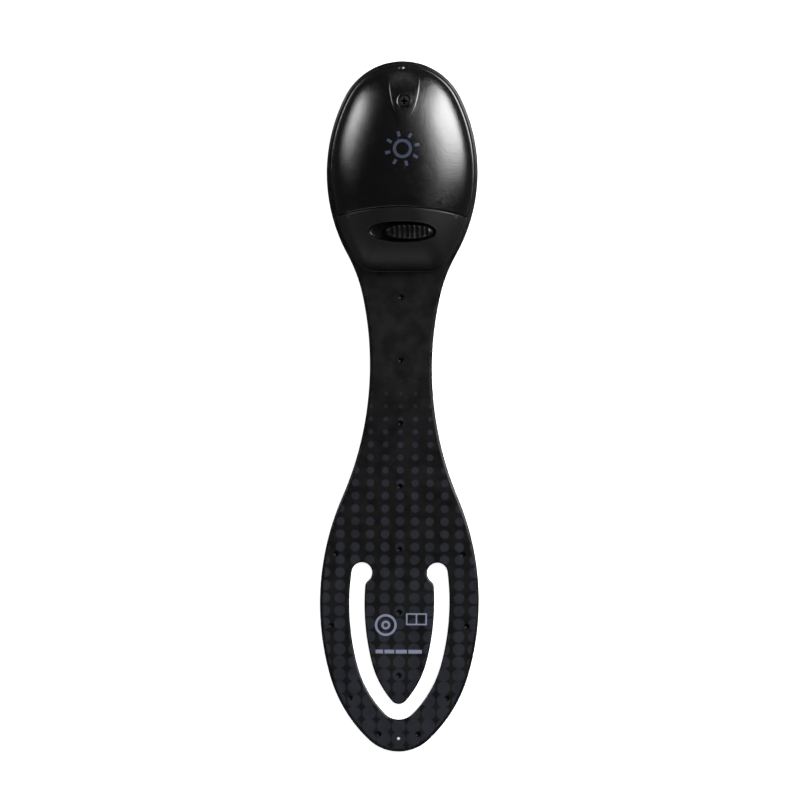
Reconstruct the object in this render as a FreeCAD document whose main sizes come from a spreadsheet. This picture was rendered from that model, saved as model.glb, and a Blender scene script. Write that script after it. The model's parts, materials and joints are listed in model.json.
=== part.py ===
import FreeCAD, Part
import math
import operator
import os
import Sketcher

# Clip-on reading lamp: a flat light head on a bendable strip that widens into a
# spoon-shaped page clip.  Millimetres, +Z up.  The lamp lies on its light face:
# the face is at z = 0, the battery side looks up, the head points along +Y.

DIMENSIONS = [
    # overall strip
    ("overall_length", 185.0),
    ("strip_thick", 2.0),
    ("strip_edge_round", 0.4),
    ("head_top_radius", 17.209),
    ("head_half_width", 20.234),
    ("head_wide_y", 62.61),
    ("flare_radius", 42.013),
    ("neck_half_width", 8.331),
    ("neck_narrow_y", 10.56),
    ("neck_radius", 88.83),
    ("clip_half_width", 21.29),
    ("clip_wide_y", -52.452),
    ("clip_flank_radius", 37.89),
    ("clip_tip_radius", 11.654),
    # knuckles that stand in for the bending of the neck
    ("first_hinge_y", 33.525),
    ("hinge_pitch", 8.45),
    ("nose_radius", 1.0),
    ("knuckle_gap", 0.12),
    # soft metal core
    ("core_width", 12.0),
    ("core_thick", 0.5),
    ("core_corner", 0.8),
    ("core_nose_end", 0.2),
    ("core_recess_end", 1.4),
    ("root_core_top", 46.7),
    ("root_peg_x", 4.0),
    ("root_peg_y", 43.8),
    ("root_peg_radius", 1.0),
    # page clip
    ("slot_half_width", 13.391),
    ("slot_wide_y", -52.699),
    ("slot_side_radius", 63.872),
    ("slot_flank_radius", 29.285),
    ("slot_tip_radius", 5.2),
    ("slot_bottom_y", -83.9),
    ("lobe_radius", 2.75),
    ("lobe_y", -44.6),
    ("tongue_half_width", 9.356),
    ("tongue_wide_y", -52.573),
    ("tongue_side_radius", 64.249),
    ("tongue_flank_radius", 25.252),
    ("tongue_tip_radius", 2.499),
    ("tongue_bottom_y", -79.75),
    ("tongue_shoulder_radius", 1.8),
    ("tongue_root_half_width", 7.3),
    ("tongue_core_half_width", 4.6),
    ("tongue_core_top", -46.2),
    ("tongue_core_bottom", -69.0),
    ("clip_core_bottom", -41.4),
    # mould-pin marks
    ("pin_mark_radius", 0.7),
    ("pin_mark_depth", 0.3),
    ("pin_mark_first_y", 29.3),
    ("lanyard_hole_radius", 0.4),
    ("lanyard_hole_y", -89.0),
    # shell of the head
    ("shell_inset", 1.3),
    ("shell_bottom_y", 36.2),
    ("shell_corner_radius", 6.0),
    ("shell_center_y", 64.0),
    ("shell_base", 2.0),
    ("shell_height", 12.0),
    ("shell_exponent", 2.4),
    ("shell_wall", 1.2),
    ("door_base", 2.15),
    ("seam_y", 53.3),
    ("seam_radius", 59.0),
    ("seam_gap", 0.25),
    # screw pad and door screw
    ("door_screw_x", 0.4),
    ("door_screw_y", 81.55),
    ("pad_rise", 0.35),
    ("pad_bottom_y", 76.2),
    ("pad_top_y", 88.8),
    ("pad_bottom_half_width", 2.6),
    ("pad_top_half_width", 4.3),
    ("door_boss_radius", 2.7),
    ("door_boss_bottom", 7.4),
    ("counterbore_radius", 1.8),
    ("counterbore_floor", 10.6),
    ("door_screw_head_radius", 1.5),
    ("door_screw_head_height", 0.9),
    ("door_screw_radius", 0.9),
    ("door_screw_hole_radius", 1.1),
    ("door_screw_end", 3.9),
    ("insert_radius", 1.6),
    ("insert_bore_radius", 0.95),
    ("insert_bottom", 3.7),
    ("insert_top", 7.0),
    ("insert_boss_radius", 2.7),
    # front chassis
    ("chassis_front", 0.9),
    ("chassis_inset", 0.8),
    ("chassis_bottom_y", 41.0),
    ("chassis_ring_inset", 2.8),
    ("chassis_ring_width", 1.0),
    ("chassis_ring_top", 4.2),
    # light
    ("light_y", 62.0),
    ("skin_light_radius", 8.6),
    ("lens_radius", 7.5),
    ("lens_front", 0.3),
    ("lens_flange_radius", 8.2),
    ("lens_flange_front", 1.25),
    ("lens_rear", 1.65),
    ("bezel_radius", 8.5),
    ("bezel_front", 0.1),
    ("chassis_ledge_radius", 7.0),
    ("chassis_ledge_front", 1.7),
    ("reflector_radius", 6.9),
    ("reflector_front", 1.7),
    ("reflector_rear", 2.55),
    ("reflector_throat_radius", 2.4),
    ("reflector_wall", 0.3),
    ("led_half_width", 1.5),
    ("led_thick", 0.5),
    ("led_dome_radius", 1.2),
    ("led_dome_height", 0.35),
    # circuit board
    ("board_inset", 4.2),
    ("board_front", 2.6),
    ("board_thick", 0.8),
    ("board_post_radius", 1.7),
    ("board_screw_radius", 0.7),
    ("board_screw_head_radius", 1.3),
    ("board_screw_head_height", 0.7),
    ("board_hole_radius", 0.8),
    ("board_screw_side_x", 12.2),
    ("board_screw_side_y", 60.5),
    ("board_screw_top_y", 77.5),
    # inner tray of the rear cover
    ("tray_bottom", 4.6),
    ("tray_top", 5.4),
    ("tray_inset", 3.3),
    ("tray_join_inset", 0.8),
    ("tray_join_y", 50.0),
    ("cover_post_radius", 1.9),
    ("cover_post_hole_radius", 2.2),
    ("cover_screw_radius", 0.9),
    ("cover_screw_head_radius", 1.5),
    ("cover_screw_head_height", 0.9),
    ("cover_screw_low_x", 13.0),
    ("cover_screw_low_y", 55.6),
    ("cover_screw_high_x", 8.6),
    ("cover_screw_high_y", 82.0),
    ("cell_y", 66.5),
    ("cell_radius", 10.0),
    ("cell_thick", 2.5),
    ("cell_bottom", 5.9),
    ("cell_cap_radius", 8.6),
    ("cell_cap_step", 0.25),
    ("cup_clearance", 0.35),
    ("cup_wall", 0.9),
    ("cup_top", 9.6),
    ("contact_thick", 0.3),
    ("contact_half_width", 2.5),
    ("contact_leg_bottom", 3.4),
    ("contact_leg_top", 9.6),
    ("foam_radius", 6.0),
    ("foam_bottom", 11.0),
    ("foam_top", 12.3),
    ("bulkhead_thick", 1.0),
    ("bulkhead_half_width", 14.5),
    ("bulkhead_top", 9.3),
    # switch
    ("switch_y", 46.65),
    ("knob_rest_x", 1.9),
    ("switch_travel", 4.0),
    ("recess_half_length", 8.9),
    ("recess_half_width", 2.9),
    ("recess_floor", 10.6),
    ("recess_rim", 0.8),
    ("recess_bottom", 9.6),
    ("stem_half_length", 0.9),
    ("stem_half_width", 0.7),
    ("stem_clearance", 0.2),
    ("knob_half_length", 6.35),
    ("knob_half_width", 2.035),
    ("knob_bottom", 10.75),
    ("knob_top", 12.6),
    ("knob_edge_round", 0.35),
    ("knob_groove_pitch", 1.35),
    ("knob_groove_width", 0.55),
    ("knob_groove_depth", 0.35),
    ("housing_half_length", 5.0),
    ("housing_half_width", 2.1),
    ("housing_height", 3.2),
    ("housing_wall", 0.6),
    ("slider_half_length", 1.3),
    ("slider_half_width", 1.2),
    ("slider_bottom", 4.5),
    ("slider_top", 5.7),
    ("bridge_thick", 0.2),
    ("terminal_pitch", 3.0),
    ("terminal_half_width", 0.3),
    ("terminal_tail", 0.25),
    # clearances and small cuts
    ("press_gap", 0.02),
    ("slip_gap", 0.1),
    ("screw_tip_depth", 0.2),
    ("board_screw_tip_gap", 0.3),
    ("cover_screw_tip_gap", 0.4),
    ("board_slot_half_width", 0.2),
    ("board_slot_half_length", 1.0),
    ("board_slot_depth", 0.3),
    ("cover_slot_half_width", 0.25),
    ("cover_slot_half_length", 1.1),
    ("cover_slot_depth", 0.4),
    ("cross_reach", 0.85),
    ("cross_half_width", 0.2),
    ("cross_depth", 0.6),
    ("resistor_half_length", 0.8),
    ("resistor_half_width", 0.4),
    ("resistor_height", 0.45),
    ("resistor_x", -8.0),
    ("resistor_y", 56.0),
    ("blade_half_length", 6.0),
    ("dimple_x", 3.6),
    ("dimple_radius", 0.9),
    ("contact_foot_reach", 2.0),
    ("chassis_ring_bottom_y", 41.6),
    ("chassis_ring_inner_y", 42.6),
    ("board_bottom_y", 43.2),
    ("bezel_seat_gap", 0.05),
    ("core_seat_low_y", 40.0),
    ("housing_opening_gap", 0.3),
]

SHELL_SCALES = (1.0, 0.985, 0.93, 0.82, 0.65, 0.42, 0.2)
LINK_COUNT = 8
MARKED_LINKS = (1, 3, 5, 7)
FRAME_PIN_MARKS = ((17.0, -39.6), (18.15, -58.8), (13.0, -78.1), (5.23, -87.8))
TONGUE_PIN_MARKS = (-55.2, -72.1)
FRAME_TOP_PIN_MARK = -38.3
GROOVES = range(-3, 4)

# sizes of cutting shapes, all of them past the material they cut
FAR = 200.0
OVERCUT = 1.0
SEAM_HALF_SPAN = 26.0
SEAM_REACH = 60.0
# the crown's hollow starts this share of its depth below the shell's foot
FOOT_SHARE = 0.1

doc = FreeCAD.newDocument("ReadingLamp")
sheet = doc.addObject("Spreadsheet::Sheet", "dims")
for row, (alias, number) in enumerate(DIMENSIONS, start=1):
    sheet.set("A%d" % row, alias)
    sheet.set("B%d" % row, str(number))
    sheet.setAlias("B%d" % row, alias)
doc.recompute()


# ---------------------------------------------------------------- sizes
class Size:
    """A length that keeps both its value and its formula on the sheet."""

    def __init__(self, value, formula):
        self.value = value
        self.formula = formula

    def __add__(self, other):
        return combined(self, "+", other)

    def __radd__(self, other):
        return combined(other, "+", self)

    def __sub__(self, other):
        return combined(self, "-", other)

    def __rsub__(self, other):
        return combined(other, "-", self)

    def __mul__(self, other):
        return combined(self, "*", other)

    def __rmul__(self, other):
        return combined(other, "*", self)

    def __truediv__(self, other):
        return combined(self, "/", other)

    def __neg__(self):
        return combined(0.0, "-", self)


OPERATIONS = {
    "+": operator.add,
    "-": operator.sub,
    "*": operator.mul,
    "/": operator.truediv,
}


def number(size):
    return size.value if isinstance(size, Size) else float(size)


def formula(size):
    return size.formula if isinstance(size, Size) else repr(float(size))


def combined(left, sign, right):
    value = OPERATIONS[sign](number(left), number(right))
    return Size(value, "(%s %s %s)" % (formula(left), sign, formula(right)))


def dim(alias):
    return Size(float(sheet.get(alias)), "dims." + alias)


def val(alias):
    return float(sheet.get(alias))


def bind(thing, prop, size):
    """Set a property from a size and keep it tied to the sheet."""
    if isinstance(size, Size):
        thing.setExpression(prop, size.formula)
    else:
        setattr(thing, prop, size)


# ---------------------------------------------------------------- paths
class Line:
    def __init__(self, start, end):
        self.start = start
        self.end = end

    def mirrored(self):
        return Line(flipped(self.end), flipped(self.start))


class Arc:
    """A circular arc about a centre; turn is +1 counter-clockwise, -1 clockwise."""

    def __init__(self, start, end, centre, turn):
        self.start = start
        self.end = end
        self.centre = centre
        self.turn = turn

    def mirrored(self):
        return Arc(flipped(self.end), flipped(self.start), flipped(self.centre), self.turn)


class Disc:
    def __init__(self, centre, radius):
        self.centre = centre
        self.radius = radius


def flipped(point):
    return (-point[0], point[1])


def polygon(points):
    return [Line(a, b) for a, b in zip(points, points[1:] + points[:1])]


def box_loop(left, right, low, high):
    return polygon([(left, low), (right, low), (right, high), (left, high)])


def rounded_box(left, right, low, high, radius):
    """A rectangle with rounded corners, drawn counter-clockwise."""
    corners = [
        ((right - radius, low), (right, low + radius), (right - radius, low + radius)),
        ((right, high - radius), (right - radius, high), (right - radius, high - radius)),
        ((left + radius, high), (left, high - radius), (left + radius, high - radius)),
        ((left, low + radius), (left + radius, low), (left + radius, low + radius)),
    ]
    path = []
    for index, (start, end, centre) in enumerate(corners):
        following = corners[(index + 1) % len(corners)]
        path.append(Arc(start, end, centre, 1))
        path.append(Line(end, following[0]))
    return path


def eye_loop(center_x, center_y, half_length, half_width):
    """Two equal arcs meeting in a point at each end."""
    sag = (number(half_length) ** 2 - number(half_width) ** 2) / (2 * number(half_width))
    left = (center_x - half_length, center_y)
    right = (center_x + half_length, center_y)
    return [
        Arc(left, right, (center_x, center_y + sag), 1),
        Arc(right, left, (center_x, center_y - sag), 1),
    ]


def closed_mirror(half):
    """Join a right-hand half, drawn from its top point down, to its mirror image."""
    return half + [piece.mirrored() for piece in reversed(half)]


# ---------------------------------------------------------------- plane geometry
def toward(start, end, distance):
    """The point at a distance from start in the direction of end."""
    dx = end[0] - start[0]
    dy = end[1] - start[1]
    length = math.hypot(dx, dy)
    return (start[0] + distance * dx / length, start[1] + distance * dy / length)


def circles_meet(first, first_radius, second, second_radius):
    """Both meeting points of two circles."""
    dx = second[0] - first[0]
    dy = second[1] - first[1]
    apart = math.hypot(dx, dy)
    along = (first_radius ** 2 - second_radius ** 2 + apart ** 2) / (2 * apart)
    across = math.sqrt(max(first_radius ** 2 - along ** 2, 0.0))
    ux = dx / apart
    uy = dy / apart
    base = (first[0] + along * ux, first[1] + along * uy)
    return (
        (base[0] - across * uy, base[1] + across * ux),
        (base[0] + across * uy, base[1] - across * ux),
    )


def highest(points):
    return max(points, key=lambda point: point[1])


def lowest(points):
    return min(points, key=lambda point: point[1])


def head_side_radius():
    """Radius of the head's side arc, tangent to the top arc and to the widest line."""
    top_radius = val("head_top_radius")
    half = val("head_half_width")
    rise = val("overall_length") / 2 - top_radius - val("head_wide_y")
    return (half ** 2 + rise ** 2 - top_radius ** 2) / (2 * (half - top_radius))


def strip_loop():
    """Outline of the whole strip: a closed chain of tangent arcs."""
    end = val("overall_length") / 2
    top_radius = val("head_top_radius")
    side_radius = head_side_radius()
    flare_radius = val("flare_radius")
    neck_radius = val("neck_radius")
    flank_radius = val("clip_flank_radius")
    tip_radius = val("clip_tip_radius")
    top = (0.0, end - top_radius)
    side = (val("head_half_width") - side_radius, val("head_wide_y"))
    neck = (val("neck_half_width") + neck_radius, val("neck_narrow_y"))
    reach = neck[0] - val("clip_half_width")
    drop = val("neck_narrow_y") - val("clip_wide_y")
    clip_radius = (reach ** 2 + drop ** 2 - neck_radius ** 2) / (2 * (neck_radius - reach))
    clip = (val("clip_half_width") - clip_radius, val("clip_wide_y"))
    tip = (0.0, tip_radius - end)
    flare = circles_meet(side, side_radius + flare_radius, neck, neck_radius - flare_radius)[1]
    flank = highest(circles_meet(clip, clip_radius - flank_radius, tip, flank_radius - tip_radius))
    crown = toward(side, top, side_radius)
    joints = [
        crown,
        toward(side, flare, side_radius),
        toward(neck, flare, neck_radius),
        toward(neck, clip, neck_radius),
        toward(clip, flank, clip_radius),
        toward(flank, tip, flank_radius),
    ]
    half = [
        Arc((0.0, end), joints[0], top, -1),
        Arc(joints[0], joints[1], side, -1),
        Arc(joints[1], joints[2], flare, 1),
        Arc(joints[2], joints[3], neck, 1),
        Arc(joints[3], joints[4], clip, -1),
        Arc(joints[4], joints[5], flank, -1),
        Arc(joints[5], (0.0, -end), tip, -1),
    ]
    return closed_mirror(half)


def shell_loop(inset=0.0, scale=1.0, cut_y=None):
    """Plan of the head shell, inset from its wall or scaled about its centre."""
    pull = val("shell_inset") + number(inset)
    top_radius = val("head_top_radius") - pull
    side_radius = head_side_radius() - pull
    corner_radius = val("shell_corner_radius") - number(inset)
    bottom = val("shell_bottom_y") + number(inset)
    if cut_y is not None:
        bottom = number(cut_y)
        corner_radius = 1.0
    top = (0.0, val("overall_length") / 2 - val("head_top_radius"))
    side = (val("head_half_width") - head_side_radius(), val("head_wide_y"))
    corner_y = bottom + corner_radius
    corner_x = side[0] + math.sqrt((side_radius - corner_radius) ** 2 - (corner_y - side[1]) ** 2)
    corner = (corner_x, corner_y)
    crown = toward(side, top, side_radius)
    turn_in = toward(side, corner, side_radius)
    foot = (corner_x, bottom)
    peak = (0.0, top[1] + top_radius)
    middle = (0.0, bottom)

    def scaled(point):
        center_y = val("shell_center_y")
        return (point[0] * scale, center_y + (point[1] - center_y) * scale)

    half = [
        Arc(scaled(peak), scaled(crown), scaled(top), -1),
        Arc(scaled(crown), scaled(turn_in), scaled(side), -1),
        Arc(scaled(turn_in), scaled(foot), scaled(corner), -1),
        Line(scaled(foot), scaled(middle)),
    ]
    return closed_mirror(half)


def slot_edge(prefix):
    """Right half of the slot's outer edge or of the tongue: side, flank and tip circles."""
    side_radius = val(prefix + "_side_radius")
    flank_radius = val(prefix + "_flank_radius")
    tip_radius = val(prefix + "_tip_radius")
    bottom = val(prefix + "_bottom_y")
    side = (val(prefix + "_half_width") - side_radius, val(prefix + "_wide_y"))
    tip = (0.0, bottom + tip_radius)
    flank = highest(circles_meet(side, side_radius - flank_radius, tip, flank_radius - tip_radius))
    return {
        "side": side,
        "side_radius": side_radius,
        "arcs": [
            Arc(toward(side, flank, side_radius), toward(flank, tip, flank_radius), flank, -1),
            Arc(toward(flank, tip, flank_radius), (0.0, bottom), tip, -1),
        ],
    }


def lobe_centre():
    """Centre of the round lobe that ends each slot arm, touching the outer edge."""
    edge = slot_edge("slot")
    free = edge["side_radius"] - val("lobe_radius")
    drop = val("lobe_y") - edge["side"][1]
    return (edge["side"][0] + math.sqrt(free ** 2 - drop ** 2), val("lobe_y"))


def clip_window_loop():
    """Opening of the clip frame: both slot arms, their lobes and the tongue's place."""
    edge = slot_edge("slot")
    lobe = lobe_centre()
    inner = (lobe[0] - val("lobe_radius"), lobe[1])
    touch = toward(edge["side"], lobe, edge["side_radius"])
    half = [
        Line((0.0, lobe[1]), inner),
        Arc(inner, touch, lobe, -1),
        Arc(touch, edge["arcs"][0].start, edge["side"], -1),
    ]
    return closed_mirror(half + edge["arcs"])


def tongue_loop():
    """Tongue seen in plan, from its hinge to its round tip."""
    edge = slot_edge("tongue")
    lobe = lobe_centre()
    lobe_radius = val("lobe_radius")
    shoulder_radius = val("tongue_shoulder_radius")
    root = val("tongue_root_half_width")
    shoulder = lowest(circles_meet(
        lobe, lobe_radius + shoulder_radius, edge["side"], edge["side_radius"] - shoulder_radius))
    meeting = toward(lobe, shoulder, lobe_radius)
    side_start = toward(edge["side"], shoulder, edge["side_radius"])
    top = lobe[1] + val("nose_radius")
    waist = (lobe[0] - lobe_radius, lobe[1])
    half = [
        Line((0.0, top), (root, top)),
        Line((root, top), waist),
        Arc(waist, meeting, lobe, 1),
        Arc(meeting, side_start, shoulder, -1),
        Arc(side_start, edge["arcs"][0].start, edge["side"], -1),
    ]
    return closed_mirror(half + edge["arcs"])


# ---------------------------------------------------------------- features
def new_body(label):
    body = doc.addObject("PartDesign::Body", label)
    body.Label = label
    body.AllowCompound = True
    return body


def place(body, x=0.0, y=0.0, z=0.0):
    for axis, size in (("x", x), ("y", y), ("z", z)):
        body.setExpression("Placement.Base." + axis, formula(size))


def origin_plane(body, role):
    return next(item for item in body.Origin.OriginFeatures if item.Role == role)


def vector(point):
    return FreeCAD.Vector(number(point[0]), number(point[1]), 0)


def pin_point(sketch, geometry, which, point):
    """Fix a sketch point by its two distances from the origin."""
    for kind, size in zip(("DistanceX", "DistanceY"), point):
        pin_distance(sketch, kind, geometry, which, size)


def pin_distance(sketch, kind, geometry, which, size):
    index = sketch.addConstraint(Sketcher.Constraint(kind, -1, 1, geometry, which, number(size)))
    if isinstance(size, Size):
        sketch.setExpression("Constraints[%d]" % index, size.formula)


def add_disc(sketch, disc):
    circle = Part.Circle(vector(disc.centre), FreeCAD.Vector(0, 0, 1), number(disc.radius))
    geometry = sketch.addGeometry(circle, False)
    pin_point(sketch, geometry, 3, disc.centre)
    index = sketch.addConstraint(Sketcher.Constraint("Radius", geometry, number(disc.radius)))
    if isinstance(disc.radius, Size):
        sketch.setExpression("Constraints[%d]" % index, disc.radius.formula)


def add_piece(sketch, piece):
    """Add a line or arc; returns its index and the ids of its first and last point."""
    start = vector(piece.start)
    end = vector(piece.end)
    if isinstance(piece, Line):
        return sketch.addGeometry(Part.LineSegment(start, end), False), 1, 2
    centre = vector(piece.centre)
    if piece.turn < 0:
        start, end = end, start
    first = math.atan2(start.y - centre.y, start.x - centre.x)
    last = math.atan2(end.y - centre.y, end.x - centre.x)
    if last <= first:
        last += 2 * math.pi
    circle = Part.Circle(centre, FreeCAD.Vector(0, 0, 1), (start - centre).Length)
    geometry = sketch.addGeometry(Part.ArcOfCircle(circle, first, last), False)
    if piece.turn < 0:
        return geometry, 2, 1
    return geometry, 1, 2


def add_path(sketch, path):
    """Add a closed path with its ends joined and every point fixed."""
    added = [add_piece(sketch, piece) for piece in path]
    for index, piece in enumerate(path):
        geometry, first, last = added[index]
        following, next_first, _ = added[(index + 1) % len(path)]
        sketch.addConstraint(
            Sketcher.Constraint("Coincident", geometry, last, following, next_first))
        pin_point(sketch, geometry, first, piece.start)
        if isinstance(piece, Arc):
            chord = vector(piece.end) - vector(piece.start)
            if abs(chord.y) > abs(chord.x):
                pin_distance(sketch, "DistanceX", geometry, 3, piece.centre[0])
            else:
                pin_distance(sketch, "DistanceY", geometry, 3, piece.centre[1])


def draw(body, name, loops, level=0.0, plane="XY_Plane"):
    """A sketch of closed loops on one of the body's own planes, lifted to a level."""
    sketch = body.newObject("Sketcher::SketchObject", name)
    sketch.AttachmentSupport = [(origin_plane(body, plane), "")]
    sketch.MapMode = "FlatFace"
    sketch.setExpression("AttachmentOffset.Base.z", formula(level))
    for loop in loops:
        if isinstance(loop, Disc):
            add_disc(sketch, loop)
        else:
            add_path(sketch, loop)
    return sketch


def pad(body, name, loops, low, high):
    """Add material between two levels."""
    feature = body.newObject("PartDesign::Pad", name)
    feature.Profile = draw(body, name + "Sketch", loops, low)
    bind(feature, "Length", high - low)
    return feature


def cut(body, name, loops, high, low):
    """Remove material from the upper level down to the lower one."""
    sketch = draw(body, name + "Sketch", loops, high)
    feature = body.newObject("PartDesign::Pocket", name)
    feature.Profile = sketch
    bind(feature, "Length", high - low)
    return feature


def cut_across(body, name, loops, width):
    """Remove a side profile, drawn in Y and Z, evenly to both sides of the middle."""
    sketch = draw(body, name + "Sketch", loops, 0.0, "YZ_Plane")
    feature = body.newObject("PartDesign::Pocket", name)
    feature.Profile = sketch
    feature.Midplane = True
    bind(feature, "Length", width)
    return feature


def turn(body, name, loops):
    """Revolve a profile, drawn in X and Z, about the body's own Z axis."""
    sketch = draw(body, name + "Sketch", loops, 0.0, "XZ_Plane")
    feature = body.newObject("PartDesign::Revolution", name)
    feature.Profile = sketch
    feature.ReferenceAxis = (sketch, ["V_Axis"])
    feature.Angle = 360.0
    return feature


def round_edges(body, name, base, radius, wanted):
    """Fillet the edges of a feature that the test picks."""
    doc.recompute()
    edges = ["Edge%d" % index for index, edge in enumerate(base.Shape.Edges, 1) if wanted(edge)]
    feature = body.newObject("PartDesign::Fillet", name)
    feature.Base = (base, edges)
    bind(feature, "Radius", radius)
    body.Tip = feature
    return feature


def lies_at(levels):
    def wanted(edge):
        box = edge.BoundBox
        flat = box.ZLength < 1e-6
        return flat and any(abs(box.ZMin - level) < 1e-6 for level in levels)
    return wanted


def dome(body, name, kind, shrink=1.0, lower=0.0, rise=0.0):
    """The head's crown: the shell plan lofted through a superellipse profile."""
    base = val("shell_base")
    power = val("shell_exponent")
    sketches = []
    for index, scale in enumerate(SHELL_SCALES):
        level = base + val("shell_height") * (1 - scale ** power) ** (1 / power) - lower + rise
        if index == 0:
            level = base - lower * FOOT_SHARE
        loop = shell_loop(scale=scale * shrink)
        sketches.append(draw(body, "%sSection%d" % (name, index), [loop], level))
    feature = body.newObject("PartDesign::" + kind, name)
    feature.Profile = sketches[0]
    feature.Sections = sketches[1:]
    return feature


def knuckle_loop(hinge_y, radius, bulge, remove):
    """Side view of all that lies beyond a knuckle arc, on the side to be removed."""
    middle = dim("strip_thick") / 2
    reach = math.sqrt(max(number(radius) ** 2 - middle.value ** 2, 0.0))
    edge = hinge_y + bulge * reach
    far = hinge_y + remove * FAR
    top = dim("strip_thick")
    corners = [(edge, top), (edge, top + OVERCUT), (far, top + OVERCUT), (far, -OVERCUT),
               (edge, -OVERCUT)]
    path = [Line(a, b) for a, b in zip(corners, corners[1:] + [(edge, 0.0)])]
    path.append(Arc((edge, 0.0), (edge, top), (hinge_y, middle), 1 if bulge > 0 else -1))
    return path


def nose_radius():
    return dim("nose_radius")


def recess_radius():
    return dim("nose_radius") + dim("knuckle_gap")


def core_levels():
    middle = dim("strip_thick") / 2
    half = dim("core_thick") / 2
    return middle - half, middle + half


def strip_plate(body):
    """The strip's full outline as a plate with rounded edges."""
    plate = pad(body, "Plate", [strip_loop()], 0.0, dim("strip_thick"))
    levels = (0.0, val("strip_thick"))
    return round_edges(body, "EdgeRound", plate, dim("strip_edge_round"), lies_at(levels))


def core_loop(low, high):
    half = dim("core_width") / 2
    return rounded_box(-half, half, low, high, dim("core_corner"))


def pin_marks(body, points):
    top = dim("strip_thick")
    discs = [Disc(point, dim("pin_mark_radius")) for point in points]
    cut(body, "PinMarks", discs, top, top - dim("pin_mark_depth"))


def hinge_y(index):
    """Y of a neck hinge, counted from the head."""
    return dim("first_hinge_y") - index * dim("hinge_pitch")


def core_plate(label, low, high):
    body = new_body(label)
    bottom, top = core_levels()
    pad(body, "Plate", [core_loop(low, high)], bottom, top)
    return body


# ---------------------------------------------------------------- neck
def make_neck():
    bottom, top = core_levels()
    mark_pitch = 2 * dim("hinge_pitch")
    for link in range(1, LINK_COUNT + 1):
        upper = hinge_y(link - 1)
        lower = hinge_y(link)
        core_low = lower - dim("core_nose_end")
        core_high = upper - dim("core_recess_end")
        skin = new_body("neck_skin_%d" % link)
        strip_plate(skin)
        cut_across(skin, "UpperRecess", [knuckle_loop(upper, recess_radius(), -1, 1)], FAR)
        cut_across(skin, "LowerNose", [knuckle_loop(lower, nose_radius(), -1, -1)], FAR)
        cut(skin, "CoreCavity", [core_loop(core_low, core_high)], top, bottom)
        if link in MARKED_LINKS:
            step = (link - 1) // 2
            pin_marks(skin, [(0.0, dim("pin_mark_first_y") - step * mark_pitch)])
        core_plate("neck_core_%d" % link, core_low, core_high)


# ---------------------------------------------------------------- page clip
def make_clip():
    bottom, top = core_levels()
    thick = dim("strip_thick")
    last = hinge_y(LINK_COUNT)
    lobe_y = dim("lobe_y")
    dip = math.sqrt(val("lobe_radius") ** 2 - number(recess_radius()) ** 2)
    recess_width = 2 * (lobe_centre()[0] - dip) + dim("slip_gap")
    core_high = last - dim("core_recess_end")
    frame = new_body("clip_frame")
    pad(frame, "Plate", [strip_loop()], 0.0, thick)
    window = cut(frame, "Window", [clip_window_loop()], thick, 0.0)
    faces = (0.0, number(thick))
    round_edges(frame, "EdgeRound", window, dim("strip_edge_round"), lies_at(faces))
    cut_across(frame, "NeckRecess", [knuckle_loop(last, recess_radius(), -1, 1)], FAR)
    cut_across(frame, "TongueRecess",
               [tongue_recess_loop(lobe_y, recess_radius())], recess_width)
    cut(frame, "CoreCavity", [core_loop(dim("clip_core_bottom"), core_high)], top, bottom)
    marks = [(0.0, FRAME_TOP_PIN_MARK)]
    for x, y in FRAME_PIN_MARKS:
        marks += [(x, y), (-x, y)]
    pin_marks(frame, marks)
    hole = Disc((0.0, dim("lanyard_hole_y")), dim("lanyard_hole_radius"))
    cut(frame, "LanyardHole", [hole], thick, 0.0)
    core_plate("clip_core", dim("clip_core_bottom"), core_high)

    tongue = new_body("clip_tongue")
    blade = pad(tongue, "Blade", [tongue_loop()], 0.0, thick)
    round_edges(tongue, "EdgeRound", blade, dim("strip_edge_round"),
                tongue_edge_test((0.0, number(thick)), number(lobe_y)))
    cut_across(tongue, "RootNose", [knuckle_loop(lobe_y, nose_radius(), 1, 1)], FAR)
    half = dim("tongue_core_half_width")
    spring = rounded_box(-half, half, dim("tongue_core_bottom"), dim("tongue_core_top"),
                         dim("core_corner"))
    cut(tongue, "CoreCavity", [spring], top, bottom)
    pin_marks(tongue, [(0.0, y) for y in TONGUE_PIN_MARKS])
    core = new_body("tongue_core")
    pad(core, "Plate", [spring], bottom, top)


def tongue_recess_loop(center_y, radius):
    """Side view of the hollow in the frame that the tongue's root turns in."""
    middle = dim("strip_thick") / 2
    reach = math.sqrt(number(radius) ** 2 - middle.value ** 2)
    top = dim("strip_thick")
    edge = center_y + reach
    behind = center_y - OVERCUT
    return [
        Arc((edge, 0.0), (edge, top), (center_y, middle), 1),
        Line((edge, top), (edge, top + OVERCUT)),
        Line((edge, top + OVERCUT), (behind, top + OVERCUT)),
        Line((behind, top + OVERCUT), (behind, -OVERCUT)),
        Line((behind, -OVERCUT), (edge, -OVERCUT)),
        Line((edge, -OVERCUT), (edge, 0.0)),
    ]


def tongue_edge_test(levels, root_y):
    flat = lies_at(levels)

    def wanted(edge):
        return flat(edge) and edge.BoundBox.YMax < root_y + 1e-3
    return wanted


# ---------------------------------------------------------------- head
def lens_place():
    return (0.0, dim("light_y"))


def board_screw_points():
    side_x = dim("board_screw_side_x")
    side_y = dim("board_screw_side_y")
    return [(side_x, side_y), (-side_x, side_y), (0.0, dim("board_screw_top_y"))]


def cover_screw_points():
    low_x = dim("cover_screw_low_x")
    low_y = dim("cover_screw_low_y")
    high_x = dim("cover_screw_high_x")
    high_y = dim("cover_screw_high_y")
    return [(low_x, low_y), (-low_x, low_y), (high_x, high_y), (-high_x, high_y)]


def discs_at(points, radius):
    return [Disc(point, radius) for point in points]


def root_pegs(radius):
    x = dim("root_peg_x")
    y = dim("root_peg_y")
    return [Disc((x, y), radius), Disc((-x, y), radius)]


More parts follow.
